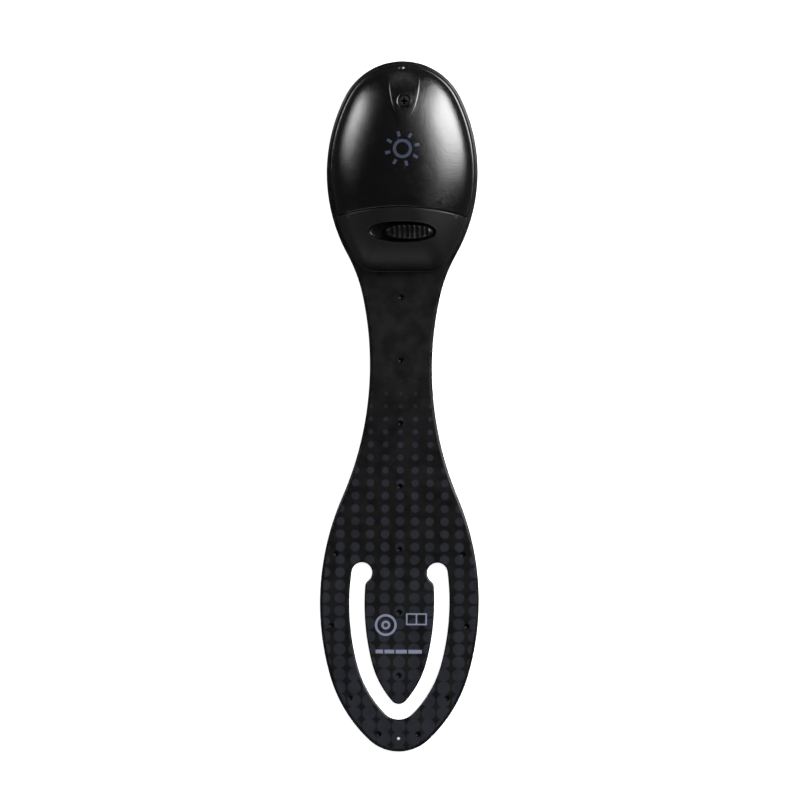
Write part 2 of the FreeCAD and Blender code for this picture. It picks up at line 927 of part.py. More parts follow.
def make_head_skin():
    bottom, top = core_levels()
    thick = dim("strip_thick")
    first = hinge_y(0)
    skin = new_body("head_skin")
    strip_plate(skin)
    cut_across(skin, "LowerNose", [knuckle_loop(first, nose_radius(), -1, -1)], FAR)
    seat = shell_loop(inset=dim("chassis_inset"), cut_y=dim("chassis_bottom_y"))
    cut(skin, "ChassisSeat", [seat], thick, dim("chassis_front"))
    cut(skin, "LightHole", [Disc(lens_place(), dim("skin_light_radius"))], thick, 0.0)
    core = core_loop(first - dim("core_nose_end"), dim("root_core_top"))
    cut(skin, "CoreCavity", [core], top, bottom)
    plate = new_body("root_core")
    pad(plate, "Plate", [core], bottom, top)
    cut(plate, "PegHoles", root_pegs(dim("root_peg_radius")), top, bottom)


def make_chassis():
    bottom, top = core_levels()
    front = dim("chassis_front")
    rear = dim("strip_thick")
    body = new_body("front_chassis")
    plate = shell_loop(inset=dim("chassis_inset"), cut_y=dim("chassis_bottom_y"))
    pad(body, "Plate", [plate], front, rear)
    ring_outer = shell_loop(inset=dim("chassis_ring_inset"), cut_y=dim("chassis_ring_bottom_y"))
    ring_inset = val("chassis_ring_inset") + val("chassis_ring_width")
    ring_inner = shell_loop(inset=ring_inset, cut_y=dim("chassis_ring_inner_y"))
    pad(body, "Ring", [ring_outer, ring_inner], rear, dim("chassis_ring_top"))
    pad(body, "BoardPosts", discs_at(board_screw_points(), dim("board_post_radius")),
        rear, dim("board_front"))
    pad(body, "CoverPosts", discs_at(cover_screw_points(), dim("cover_post_radius")),
        rear, dim("tray_bottom"))
    half = dim("core_width") / 2
    core_seat = box_loop(-half, half, dim("core_seat_low_y"), dim("root_core_top"))
    cut(body, "CoreSeat", [core_seat], top, front)
    pad(body, "CorePegs", root_pegs(dim("root_peg_radius")), bottom, rear)
    ledge = dim("chassis_ledge_front")
    cut(body, "LensSeat", [Disc(lens_place(), dim("skin_light_radius"))], ledge, front)
    cut(body, "LightHole", [Disc(lens_place(), dim("chassis_ledge_radius"))], rear, ledge)
    cut(body, "BoardScrewHoles", discs_at(board_screw_points(), dim("board_screw_radius")),
        dim("board_front"), front + dim("screw_tip_depth"))
    cut(body, "CoverScrewHoles", discs_at(cover_screw_points(), dim("cover_screw_radius")),
        dim("tray_bottom"), front + dim("screw_tip_depth"))


def make_light():
    lens = new_body("lens")
    radius = dim("lens_radius")
    flange = dim("lens_flange_radius")
    front = dim("lens_front")
    step = dim("lens_flange_front")
    rear = dim("lens_rear")
    turn(lens, "Disc", [polygon([
        (0.0, front), (radius, front), (radius, step), (flange, step), (flange, rear),
        (0.0, rear)])])
    place(lens, y=dim("light_y"))

    bezel = new_body("lens_bezel")
    hole = radius + dim("bezel_seat_gap")
    turn(bezel, "Ring", [box_loop(hole, dim("bezel_radius"), dim("bezel_front"), step)])
    place(bezel, y=dim("light_y"))

    reflector = new_body("reflector")
    wall = dim("reflector_wall")
    rim = dim("reflector_radius")
    throat = dim("reflector_throat_radius")
    near = dim("reflector_front")
    far = dim("reflector_rear")
    turn(reflector, "Cone", [polygon([
        (rim - wall, near), (rim, near), (rim, near + wall), (throat + wall, far),
        (throat, far), (throat, far - wall)])])
    place(reflector, y=dim("light_y"))

    led = new_body("led")
    half = dim("led_half_width")
    base = dim("board_front")
    body_front = base - dim("led_thick")
    pad(led, "Package", [box_loop(-half, half, -half, half)], body_front, base)
    radius = dim("led_dome_radius")
    pad(led, "Dome", [Disc((0.0, 0.0), radius)], body_front - dim("led_dome_height"), body_front)
    place(led, y=dim("light_y"))


def make_board():
    front = dim("board_front")
    rear = front + dim("board_thick")
    board = new_body("circuit_board")
    outline = shell_loop(inset=dim("board_inset"), cut_y=dim("board_bottom_y"))
    pad(board, "Plate", [outline], front, rear)
    cut(board, "ScrewHoles", discs_at(board_screw_points(), dim("board_hole_radius")), rear, front)
    cut(board, "PostHoles", discs_at(cover_screw_points(), dim("cover_post_hole_radius")),
        rear, front)
    cut(board, "TerminalHoles", terminal_loops(), rear, front)
    cut(board, "ContactSlots", contact_leg_loops(), rear, front)

    screws = new_body("board_screws")
    head = dim("board_screw_head_radius")
    shank_end = dim("chassis_front") + dim("board_screw_tip_gap")
    head_top = rear + dim("board_screw_head_height")
    pad(screws, "Shanks", discs_at(board_screw_points(), dim("board_screw_radius")),
        shank_end, rear)
    pad(screws, "Heads", discs_at(board_screw_points(), head), rear, head_top)
    slots = driver_slots(board_screw_points(), "board")
    cut(screws, "Slots", slots, head_top, head_top - dim("board_slot_depth"))

    resistor = new_body("resistor")
    half_length = dim("resistor_half_length")
    half_width = dim("resistor_half_width")
    pad(resistor, "Chip", [box_loop(-half_length, half_length, -half_width, half_width)],
        rear, rear + dim("resistor_height"))
    place(resistor, x=dim("resistor_x"), y=dim("resistor_y"))


def driver_slots(points, screw):
    """Straight driver slots across the heads of the board or cover screws."""
    half_width = dim(screw + "_slot_half_width")
    half_length = dim(screw + "_slot_half_length")
    return [box_loop(x - half_length, x + half_length, y - half_width, y + half_width)
            for x, y in points]


def terminal_loops():
    half = dim("terminal_half_width")
    pitch = dim("terminal_pitch")
    y = dim("switch_y")
    return [box_loop(step * pitch - half, step * pitch + half, y - half, y + half)
            for step in (-1, 0, 1)]


def contact_leg_loops():
    """Plan of the positive contact's leg, with room around it."""
    inner = dim("cell_radius") + dim("press_gap")
    outer = inner + dim("contact_thick")
    room = dim("slip_gap")
    half = dim("contact_half_width") + room
    y = dim("cell_y")
    return [box_loop(inner - room, outer + room, y - half, y + half)]


def make_cells():
    radius = dim("cell_radius")
    cap = dim("cell_cap_radius")
    step = dim("cell_cap_step")
    thick = dim("cell_thick")
    for index in (0, 1):
        cell = new_body("coin_cell_%d" % (index + 1))
        turn(cell, "Case", [polygon([
            (0.0, 0.0), (cap, 0.0), (cap, step), (radius, step), (radius, thick),
            (0.0, thick)])])
        place(cell, y=dim("cell_y"), z=dim("cell_bottom") + index * thick)

    negative = new_body("cell_contact_negative")
    tray = dim("tray_top")
    sheet_thick = dim("contact_thick")
    half = dim("contact_half_width")
    y = dim("cell_y")
    reach = dim("blade_half_length")
    pad(negative, "Blade", [box_loop(-reach, reach, y - half, y + half)], tray, tray + sheet_thick)
    dimple_x = dim("dimple_x")
    pad(negative, "Dimples", discs_at([(-dimple_x, y), (dimple_x, y)], dim("dimple_radius")),
        tray + sheet_thick, dim("cell_bottom"))

    positive = new_body("cell_contact_positive")
    inner = dim("cell_radius") + dim("press_gap")
    pad(positive, "Leg", [box_loop(inner, inner + sheet_thick, y - half, y + half)],
        dim("contact_leg_bottom"), dim("contact_leg_top"))
    foot = box_loop(inner + sheet_thick, inner + dim("contact_foot_reach"), y - half, y + half)
    pad(positive, "Foot", [foot], dim("contact_leg_bottom"),
        dim("contact_leg_bottom") + sheet_thick)


def seam_loop(radius, beyond):
    """Everything in front of or behind the seam arc between door and cover."""
    center_y = val("seam_y") - val("seam_radius")
    ends_y = center_y + math.sqrt(radius ** 2 - SEAM_HALF_SPAN ** 2)
    edge_y = val("seam_y") + beyond * SEAM_REACH
    left = (-SEAM_HALF_SPAN, ends_y)
    right = (SEAM_HALF_SPAN, ends_y)
    return [
        Arc(right, left, (0.0, center_y), 1),
        Line(left, (-SEAM_HALF_SPAN, edge_y)),
        Line((-SEAM_HALF_SPAN, edge_y), (SEAM_HALF_SPAN, edge_y)),
        Line((SEAM_HALF_SPAN, edge_y), right),
    ]


def make_rear_cover():
    wall = val("shell_wall")
    shrink = 1 - wall / (val("head_half_width") - val("shell_inset"))
    roof = val("shell_base") + val("shell_height") + OVERCUT
    body = new_body("rear_cover")
    dome(body, "Crown", "AdditiveLoft")
    dome(body, "Hollow", "SubtractiveLoft", shrink=shrink, lower=wall)
    gap = val("seam_gap") / 2
    cut(body, "DoorSide", [seam_loop(val("seam_radius") - gap, 1)], roof, 0.0)
    low = dim("tray_bottom")
    high = dim("tray_top")
    pad(body, "Tray", [shell_loop(inset=dim("tray_inset"))], low, high)
    pad(body, "TrayJoin", [tray_join_loop()], low, high)
    outer = dim("cell_radius") + dim("cup_clearance") + dim("cup_wall")
    inner = dim("cell_radius") + dim("cup_clearance")
    cell = (0.0, dim("cell_y"))
    pad(body, "Cup", [Disc(cell, outer), Disc(cell, inner)], high, dim("cup_top"))
    cut(body, "CupSlot", contact_leg_loops(), dim("cup_top") + OVERCUT, low)
    pad(body, "Bulkhead", [bulkhead_loop()], high, dim("bulkhead_top"))
    boss = (dim("door_screw_x"), dim("door_screw_y"))
    pad(body, "InsertBoss", [Disc(boss, dim("insert_boss_radius"))],
        dim("insert_bottom"), dim("insert_top"))
    cut(body, "InsertHole", [Disc(boss, dim("insert_radius"))],
        dim("insert_top"), dim("insert_bottom"))
    y = dim("switch_y")
    length = dim("recess_half_length")
    width = dim("recess_half_width")
    rim = dim("recess_rim")
    floor = dim("recess_floor")
    pad(body, "RecessFloor", [eye_loop(0.0, y, length + rim, width + rim)],
        dim("recess_bottom"), floor)
    cut(body, "Recess", [eye_loop(0.0, y, length, width)], roof, floor)
    play = dim("stem_clearance")
    slot_left = dim("knob_rest_x") - dim("switch_travel") - dim("stem_half_length") - play
    slot_right = dim("knob_rest_x") + dim("stem_half_length") + play
    slot_half = dim("stem_half_width") + play
    cut(body, "StemSlot", [box_loop(slot_left, slot_right, y - slot_half, y + slot_half)],
        floor, dim("recess_bottom") - OVERCUT)
    room = dim("housing_opening_gap")
    half_length = dim("housing_half_length") + room
    half_width = dim("housing_half_width") + room
    cut(body, "SwitchOpening", [box_loop(-half_length, half_length, y - half_width,
                                         y + half_width)], high, low)
    cut(body, "CoverScrewHoles",
        discs_at(cover_screw_points(), dim("cover_screw_radius") + dim("slip_gap")), high, low)

    screws = new_body("cover_screws")
    points = cover_screw_points()
    head_top = high + dim("cover_screw_head_height")
    pad(screws, "Shanks", discs_at(points, dim("cover_screw_radius")),
        dim("chassis_front") + dim("cover_screw_tip_gap"), high)
    pad(screws, "Heads", discs_at(points, dim("cover_screw_head_radius")), high, head_top)
    cut(screws, "Slots", driver_slots(points, "cover"), head_top,
        head_top - dim("cover_slot_depth"))

    insert = new_body("screw_insert")
    pad(insert, "Barrel", [Disc((0.0, 0.0), dim("insert_radius")),
                           Disc((0.0, 0.0), dim("insert_bore_radius"))],
        dim("insert_bottom"), dim("insert_top"))
    place(insert, x=dim("door_screw_x"), y=dim("door_screw_y"))


def tray_join_loop():
    """Lower part of the tray, wide enough to run into the cover's wall."""
    edge = shell_loop(inset=dim("tray_join_inset"))
    side = edge[1]
    radius = math.hypot(side.start[0] - side.centre[0], side.start[1] - side.centre[1])
    y = val("tray_join_y")
    x = side.centre[0] + math.sqrt(radius ** 2 - (y - side.centre[1]) ** 2)
    half = [
        Line((0.0, y), (x, y)),
        Arc((x, y), side.end, side.centre, -1),
        edge[2],
        edge[3],
    ]
    return closed_mirror(half)


def bulkhead_loop():
    """Curved wall just inside the seam that closes the switch side."""
    center_y = val("seam_y") - val("seam_radius")
    outer = val("seam_radius") - val("seam_gap") / 2
    inner = outer - val("bulkhead_thick")
    half = val("bulkhead_half_width")
    outer_y = center_y + math.sqrt(outer ** 2 - half ** 2)
    inner_y = center_y + math.sqrt(inner ** 2 - half ** 2)
    centre = (0.0, center_y)
    return [
        Arc((half, outer_y), (-half, outer_y), centre, 1),
        Line((-half, outer_y), (-half, inner_y)),
        Arc((-half, inner_y), (half, inner_y), centre, -1),
        Line((half, inner_y), (half, outer_y)),
    ]


def screw_pad_loop():
    """Shield-shaped pad round the door screw, narrow and round at its foot."""
    x = dim("door_screw_x")
    bottom = dim("pad_bottom_y")
    top = dim("pad_top_y")
    low_half = dim("pad_bottom_half_width")
    top_half = dim("pad_top_half_width")
    foot = bottom + low_half
    return [
        Line((x - top_half, top), (x - low_half, foot)),
        Arc((x - low_half, foot), (x + low_half, foot), (x, foot), 1),
        Line((x + low_half, foot), (x + top_half, top)),
        Line((x + top_half, top), (x - top_half, top)),
    ]


def make_door():
    wall = val("shell_wall")
    shrink = 1 - wall / (val("head_half_width") - val("shell_inset"))
    roof = val("shell_base") + val("shell_height") + OVERCUT
    frame = box_loop(-FAR, FAR, -FAR, FAR)
    screw = (dim("door_screw_x"), dim("door_screw_y"))
    body = new_body("battery_door")
    dome(body, "PadCrown", "AdditiveLoft", rise=val("pad_rise"))
    cut(body, "PadOutline", [frame, screw_pad_loop()], roof, 0.0)
    dome(body, "Crown", "AdditiveLoft")
    dome(body, "Hollow", "SubtractiveLoft", shrink=shrink, lower=wall)
    floor = dim("counterbore_floor")
    pad(body, "Boss", [Disc(screw, dim("door_boss_radius"))], dim("door_boss_bottom"), floor)
    cut(body, "Counterbore", [Disc(screw, dim("counterbore_radius"))], roof, floor)
    cut(body, "ScrewHole", [Disc(screw, dim("door_screw_hole_radius"))], floor, 0.0)
    gap = val("seam_gap") / 2
    cut(body, "CoverSide", [seam_loop(val("seam_radius") + gap, -1)], roof, 0.0)
    cut(body, "Foot", [frame], dim("door_base"), 0.0)

    foam = new_body("door_foam_pad")
    pad(foam, "Pad", [Disc((0.0, 0.0), dim("foam_radius"))], dim("foam_bottom"), dim("foam_top"))
    place(foam, y=dim("cell_y"))

    bolt = new_body("battery_screw")
    floor = dim("counterbore_floor")
    head_top = floor + dim("door_screw_head_height")
    seat = floor + dim("press_gap")
    pad(bolt, "Head", [Disc((0.0, 0.0), dim("door_screw_head_radius"))], seat, head_top)
    pad(bolt, "Shank", [Disc((0.0, 0.0), dim("door_screw_radius"))],
        dim("door_screw_end"), seat)
    reach = dim("cross_reach")
    arm = dim("cross_half_width")
    cross = polygon([
        (arm, reach), (-arm, reach), (-arm, arm), (-reach, arm), (-reach, -arm), (-arm, -arm),
        (-arm, -reach), (arm, -reach), (arm, -arm), (reach, -arm), (reach, arm), (arm, arm)])
    cut(bolt, "Cross", [cross], head_top, head_top - dim("cross_depth"))
    place(bolt, x=dim("door_screw_x"), y=dim("door_screw_y"))


# ---------------------------------------------------------------- switch
def make_switch():
    y = dim("switch_y")
    base = dim("board_front") + dim("board_thick")
    top = base + dim("housing_height")
    wall = dim("housing_wall")
    length = dim("housing_half_length")
    width = dim("housing_half_width")
    rest = dim("knob_rest_x")
    travel = dim("switch_travel")
    centre = rest - travel / 2
    play = dim("stem_clearance")
    stem_length = dim("stem_half_length")
    stem_width = dim("stem_half_width")
    housing = new_body("switch_housing")
    pad(housing, "Box", [box_loop(centre - length, centre + length, y - width, y + width)],
        base, top)
    room_length = length - wall
    room_width = width - wall
    cut(housing, "Room", [box_loop(centre - room_length, centre + room_length,
                                   y - room_width, y + room_width)], top - wall, base + wall)
    slot_length = travel / 2 + stem_length + play
    cut(housing, "Slot", [box_loop(centre - slot_length, centre + slot_length,
                                   y - stem_width - play, y + stem_width + play)],
        top, top - wall)
    pins = new_body("switch_terminals")
    pad(pins, "Pins", terminal_loops(), dim("board_front") - dim("terminal_tail"), base)

    slider = new_body("switch_actuator")
    half_length = dim("slider_half_length")
    half_width = dim("slider_half_width")
    pad(slider, "Block", [box_loop(-half_length, half_length, -half_width, half_width)],
        dim("slider_bottom"), dim("slider_top"))
    pad(slider, "Stem", [box_loop(-stem_length, stem_length, -stem_width, stem_width)],
        dim("slider_top"), dim("knob_bottom"))
    place(slider, x=rest, y=y)

    bridge = new_body("switch_contact")
    pad(bridge, "Plate", [box_loop(-half_length, half_length, -half_width, half_width)],
        dim("slider_bottom") - dim("bridge_thick"), dim("slider_bottom"))
    place(bridge, x=rest, y=y)

    knob = new_body("switch_knob")
    low = dim("knob_bottom")
    high = dim("knob_top")
    cap = pad(knob, "Cap", [eye_loop(0.0, 0.0, dim("knob_half_length"), dim("knob_half_width"))],
              low, high)
    round_edges(knob, "EdgeRound", cap, dim("knob_edge_round"), lies_at((number(high),)))
    half = dim("knob_groove_width") / 2
    reach = dim("knob_half_width") + OVERCUT
    grooves = []
    for step in GROOVES:
        middle = step * dim("knob_groove_pitch")
        grooves.append(box_loop(middle - half, middle + half, -reach, reach))
    cut(knob, "Grooves", grooves, high, high - dim("knob_groove_depth"))
    place(knob, x=rest, y=y)


# ---------------------------------------------------------------- build and write
make_head_skin()
make_chassis()
make_light()
make_board()
make_cells()
make_rear_cover()
make_door()
make_switch()
make_neck()
make_clip()
doc.recompute()

for item in doc.Objects:
    if "Invalid" in item.State or "Error" in item.State:
        raise RuntimeError("%s did not build: %s" % (item.Label, item.State))

bodies = [item for item in doc.Objects if item.TypeId == "PartDesign::Body"]
os.makedirs("parts", exist_ok=True)
for body in bodies:
    if body.Shape.isNull() or not body.Shape.isValid():
        raise RuntimeError("%s has no valid shape" % body.Label)
    body.Shape.exportStep(os.path.join("parts", body.Label + ".step"))
    print("%-24s %10.2f mm3  %d solids" % (body.Label, body.Shape.Volume, len(body.Shape.Solids)))
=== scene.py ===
import json
from math import atan2, ceil, copysign, cos, hypot, pi, radians, sin, sqrt

import bmesh
import bpy
import numpy as np
from mathutils import Matrix, Vector


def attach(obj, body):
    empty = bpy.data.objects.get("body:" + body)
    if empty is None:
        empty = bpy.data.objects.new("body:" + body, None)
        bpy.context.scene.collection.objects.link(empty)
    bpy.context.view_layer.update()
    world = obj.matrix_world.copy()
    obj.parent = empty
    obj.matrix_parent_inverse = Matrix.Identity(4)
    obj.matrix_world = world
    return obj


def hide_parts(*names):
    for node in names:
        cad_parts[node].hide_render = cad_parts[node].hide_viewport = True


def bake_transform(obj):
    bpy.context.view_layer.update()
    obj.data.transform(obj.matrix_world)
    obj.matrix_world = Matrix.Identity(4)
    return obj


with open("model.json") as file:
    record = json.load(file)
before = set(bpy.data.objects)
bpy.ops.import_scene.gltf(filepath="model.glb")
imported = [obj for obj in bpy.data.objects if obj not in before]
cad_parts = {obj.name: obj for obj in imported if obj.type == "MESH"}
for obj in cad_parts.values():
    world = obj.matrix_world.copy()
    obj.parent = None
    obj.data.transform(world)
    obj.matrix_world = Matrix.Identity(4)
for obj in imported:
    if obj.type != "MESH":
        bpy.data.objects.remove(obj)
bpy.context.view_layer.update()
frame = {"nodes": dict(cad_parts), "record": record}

# Looks of the clip-on reading lamp. Sizes are in millimetres, in the CAD model's own frame:
# the light face lies on z = 0, the head points along +Y and the battery side looks up.
MM = 0.001

# strip outline
LENGTH = 185.0
THICK = 2.0
TOP_R = 17.209
HEAD_HALF = 20.234
HEAD_Y = 62.61
FLARE_R = 42.013
NECK_HALF = 8.331
NECK_Y = 10.56
NECK_R = 88.83
CLIP_HALF = 21.29
CLIP_Y = -52.452
FLANK_R = 37.89
TIP_R = 11.654
RIM_ROUND = 0.85
SLOT_ROUND = 0.5
SUPPORT = 0.06
RIM_STEPS = 5

# neck bending
HINGE_Y = [33.525 - 8.45 * step for step in range(9)]
BEND_BELOW = 4.4
BEND_ABOVE = 3.0
SEAM_BELOW_MIDDLE = 1.1
HEAD_SEAM = 37.0
CLIP_SEAM = -36.9
SLICE = 0.5

# page clip: slot edge and tongue edge as (half width, widest y, side r, flank r, tip r, bottom y)
SLOT = (13.391, -52.699, 63.872, 29.285, 5.2, -83.9)
TONGUE = (9.356, -52.573, 64.249, 25.252, 2.499, -79.75)
LOBE_R = 2.75
LOBE_Y = -44.6
SHOULDER_R = 1.8
TONGUE_BEND = 6.5

# mould-pin marks
PIN_R = 0.7
PIN_DEPTH = 0.75
PIN_EDGE = [(0.4, PIN_DEPTH), (0.2, PIN_DEPTH - 0.12), (0.04, 0.2), (0.0, 0.06), (-0.07, 0.0)]
NECK_PINS = {1: 29.3, 3: 12.4, 5: -4.5, 7: -21.4}
CLIP_PINS = [(0.0, -38.3)] + [(side * x, y) for side in (-1, 1)
                              for x, y in ((17.0, -39.6), (18.15, -58.8), (13.0, -78.1), (5.23, -87.8))]
TONGUE_PINS = [(0.0, -55.2), (0.0, -72.1)]
TIP_HOLE = (0.0, -89.0)
TIP_HOLE_R = 0.4
TIP_HOLE_EDGE = 0.1

# head shell
SHELL_INSET = 1.3
SHELL_BOTTOM = 36.2
SHELL_CORNER = 6.0
SHELL_MID = 64.0
SHELL_BASE = 2.05
DOOR_BASE = 2.15
SHELL_HEIGHT = 11.95
SHELL_POWER = 2.4
SHELL_WALL = 1.2
DOME_STEPS = 56
DOME_CROWDING = 1.15
FOOT_BEAD = [(0.1, 0.0), (0.22, 0.08), (0.26, 0.2), (0.24, 0.32), (0.16, 0.42), (0.03, 0.47)]
SEAM_Y = 53.3
SEAM_R = 59.0
SEAM_GAP = 0.25
SEAM_ROUND = 0.28
SEAM_CUTS = (0.12, 0.3, 0.55, 0.8, 1.0, 1.25)
CUT_HEIGHTS = (8.0, 16.0)

# parts in the head
LIGHT_Y = 62.0
LIGHT_HOLE_R = 8.6
LIGHT_HOLE_LIP = 0.35
SEAT_INSET = 0.8
SEAT_BOTTOM = 41.0
SEAT_FLOOR = 0.9
SEAT_CORNER = 1.0
SCREW = (0.4, 81.55)
SCREW_HEAD_R = 1.5
SCREW_HEAD = (10.62, 11.5)
SHANK_R = 0.9
SHANK_END = 3.9
SHANK_TIP = [(0.3, 0.0), (0.65, 0.35)]
THREAD_PITCH = 0.45
THREAD = [(0.2, 0.12), (0.0, 0.26), (0.0, 0.32)]
SCREW_CROWN = [(0.0, 0.35), (0.04, 0.22), (0.16, 0.1), (0.34, 0.02), (0.45, 0.0)]
CROSS_REACH = 0.95
CROSS_ARM = 0.27
CROSS_DEPTH = 0.65
SWITCH_Y = 46.65
KNOB_X = 1.9
KNOB_HALF = 6.5
KNOB_WIDE = 2.03
KNOB_LOW = 10.75
KNOB_HIGH = 12.6
RIDGE_PITCH = 1.35
RIDGE_DEPTH = 0.5
RIDGE_END = 5.1
KNOB_DISH = 0.42
EYE_POWER = 2.3
LENS_R = 7.5
LENS_FRONT = (0.0, 0.15, 0.3, 0.45, 0.6, 0.75, 0.88, 0.96)
LENS_SIDE = [(7.45, 0.5), (7.5, 0.65), (7.5, 1.28), (8.15, 1.3), (8.2, 1.36), (8.2, 1.6), (8.14, 1.65)]
LENS_REAR = [(7.9, 1.65), (6.9, 1.6), (6.6, 1.35), (5.0, 1.25), (3.3, 1.17), (1.6, 1.12), (0.0, 1.1)]
BEZEL = [(7.56, 1.2), (7.56, 0.55), (7.62, 0.36), (7.78, 0.2), (8.0, 0.12), (8.25, 0.12), (8.42, 0.2),
         (8.5, 0.34), (8.5, 1.2)]

# screw pad, screw boss and lifting tab on the door
PAD_FOOT_Y = 76.2
PAD_TOP_Y = 88.9
PAD_HALF = 4.3
PAD_RISE = 0.6
PAD_FADE = 4.0
PAD_ROUND = 0.4
BORE_R = 1.8
BORE_FLOOR = 10.6
BORE_MOUTH = [(0.5, 0.0), (0.2, 0.0), (0.08, 0.03), (0.0, 0.12)]
BORE_CUT_R = 2.15
BOSS_R = 2.7
BOSS_HOLE_R = 1.1
BOSS_END = 7.4
TAB_PLACE = (-0.4, 90.3, 4.7)
TAB_SIZE = (1.2, 1.05, 1.6)
TAB_STEPS = 28

# rear cover: slot as (left, right, half width), cell wall as (middle y, inner r, outer r, top)
RECESS_HALF = 9.1
RECESS_WIDE = 2.85
RECESS_FLOOR = 9.9
RECESS_BOTTOM = 9.55
RECESS_LIP = [(-0.3, 0.02), (-0.22, -0.015), (-0.1, -0.005), (0.0, 0.06)]
RECESS_CUT = -0.12
STEM_SLOT = (-3.2, 3.0, 0.9)
TRAY_INSET = 3.3
TRAY = (4.6, 5.4)
WALL_FOOT = 5.35
SWITCH_WELL = (6.0, 2.3)
CELL_WALL = (66.5, 10.35, 11.25, 9.6)
BULKHEAD_TOP = 9.3
BULKHEAD_HALF = 14.5
BULKHEAD_THICK = 1.0
INSERT_R = 1.6
INSERT_BOSS_R = 2.7
INSERT_TOP = 7.0

# printed marks
DOT_PITCH = (3.99, 3.425)
DOTS_END = (-7.0, 18.0)
RINGS_AT = (-3.6, -58.6)
BOOK_AT = (4.6, -57.0)
BARS_Y = -65.7
BARS = ((-5.3, 1.0), (-2.6, 1.3), (0.6, 1.5), (4.3, 1.8))
SUN_AT = (0.0, 68.8)
SUN_RAYS = 8

# softboxes round the head: name, bearing, distance, lower and upper edge, width, radiance (in metres)
SOFTBOXES = [
    ("softbox_right", 30.0, 0.8, -0.12, 1.05, 0.62, 9.8),
    ("softbox_right_top", 26.0, 0.5, 0.66, 0.95, 0.4, 1.6),
    ("softbox_left", 152.0, 0.8, -0.05, 0.48, 0.38, 6.0),
    ("softbox_far", 91.0, 0.9, 0.0, 0.08, 0.1, 4.0),
    ("softbox_foot", 235.0, 1.0, 0.0, 0.7, 0.9, 0.35),
    ("softbox_side", 222.0, 0.9, 0.0, 0.1, 0.3, 2.0),
    ("softbox_near", 268.0, 0.9, 0.1, 0.6, 0.6, 0.7),
]

# view: width and middle on the table in metres, turn in degrees
VIEW_WIDTH = 0.21443
VIEW_CENTRE = (-0.0002, 0.0017)
VIEW_TILT = 0.38


# ---- plane geometry
def toward(start, end, distance):
    """The point at a distance from the start on the line to the end."""
    start, end = Vector(start), Vector(end)
    return start + (end - start).normalized() * distance


def circles_meet(first, first_r, second, second_r):
    """Both meeting points of two circles."""
    first, second = Vector(first), Vector(second)
    gap = second - first
    along = (first_r ** 2 - second_r ** 2 + gap.length ** 2) / (2 * gap.length)
    across = sqrt(max(first_r ** 2 - along ** 2, 0.0))
    unit = gap.normalized()
    normal = Vector((-unit.y, unit.x))
    return first + unit * along + normal * across, first + unit * along - normal * across


class Arc:
    """An arc of an outline. Its body lies toward the centre if hollow is False."""

    def __init__(self, centre, radius, hollow=False, spacing=0.6):
        self.centre = Vector(centre)
        self.radius = radius
        self.hollow = hollow
        self.spacing = spacing

    def run(self, start, end):
        """Lead the arc the short way from a start to an end point."""
        first = Vector(start) - self.centre
        last = Vector(end) - self.centre
        self.first = atan2(first.y, first.x)
        turn = atan2(last.y, last.x) - self.first
        self.turn = (turn + pi) % (2 * pi) - pi
        self.count = max(3, ceil(abs(self.turn) * self.radius / self.spacing))

    def points(self, inset):
        """Points along the arc, pushed into the body by the inset, without the last one."""
        radius = self.radius + (inset if self.hollow else -inset)
        angles = [self.first + self.turn * step / self.count for step in range(self.count)]
        return [(self.centre.x + radius * cos(a), self.centre.y + radius * sin(a)) for a in angles]


def chain(arcs, start, end):
    """Join arcs whose circles touch into one smooth line between two points."""
    ends = [start]
    for pair in zip(arcs, arcs[1:]):
        small, big = sorted(pair, key=lambda arc: arc.radius)
        ends.append(toward(big.centre, small.centre, big.radius))
    for arc, first, last in zip(arcs, ends, ends[1:] + [end]):
        arc.run(first, last)
    return arcs


def mirrored(half, last):
    """Close a right-hand half, from its top point to just before its last, with its mirror image."""
    return half + [last] + [(-x, y) for x, y in reversed(half[1:])]


def head_side_r():
    """Radius of the head's long side arcs."""
    rise = LENGTH / 2 - TOP_R - HEAD_Y
    return (HEAD_HALF ** 2 + rise ** 2 - TOP_R ** 2) / (2 * (HEAD_HALF - TOP_R))


def strip_arcs():
    """Right-hand outline of the strip, from the head's top to the clip's tip."""
    end = LENGTH / 2
    reach = NECK_HALF + NECK_R - CLIP_HALF
    drop = NECK_Y - CLIP_Y
    clip_r = (reach ** 2 + drop ** 2 - NECK_R ** 2) / (2 * (NECK_R - reach))
    top = Arc((0, end - TOP_R), TOP_R)
    side = Arc((HEAD_HALF - head_side_r(), HEAD_Y), head_side_r())
    neck = Arc((NECK_HALF + NECK_R, NECK_Y), NECK_R, hollow=True)
    clip = Arc((CLIP_HALF - clip_r, CLIP_Y), clip_r)
    tip = Arc((0, TIP_R - end), TIP_R)
    flares = circles_meet(side.centre, side.radius + FLARE_R, neck.centre, NECK_R - FLARE_R)
    flanks = circles_meet(clip.centre, clip_r - FLANK_R, tip.centre, FLANK_R - TIP_R)
    flare = Arc(flares[1], FLARE_R, hollow=True)
    flank = Arc(max(flanks, key=lambda p: p.y), FLANK_R)
    return chain([top, side, flare, neck, clip, flank, tip], (0, end), (0, -end))


def loop_of(arcs, inset, last, lead=()):
    return mirrored([*lead] + [point for arc in arcs for point in arc.points(inset)], last)


def strip_loop(inset):
    return loop_of(STRIP_ARCS, inset, (0, inset - LENGTH / 2))


def blade_arcs(edge, hollow=False):
    """Side, flank and tip arcs of the slot's outer edge or of the tongue."""
    half, wide_y, side_r, flank_r, tip_r, bottom = edge
    side = Arc((half - side_r, wide_y), side_r, hollow)
    tip = Arc((0, bottom + tip_r), tip_r, hollow, 0.35)
    flanks = circles_meet(side.centre, side_r - flank_r, tip.centre, flank_r - tip_r)
    return [side, Arc(max(flanks, key=lambda p: p.y), flank_r, hollow), tip]


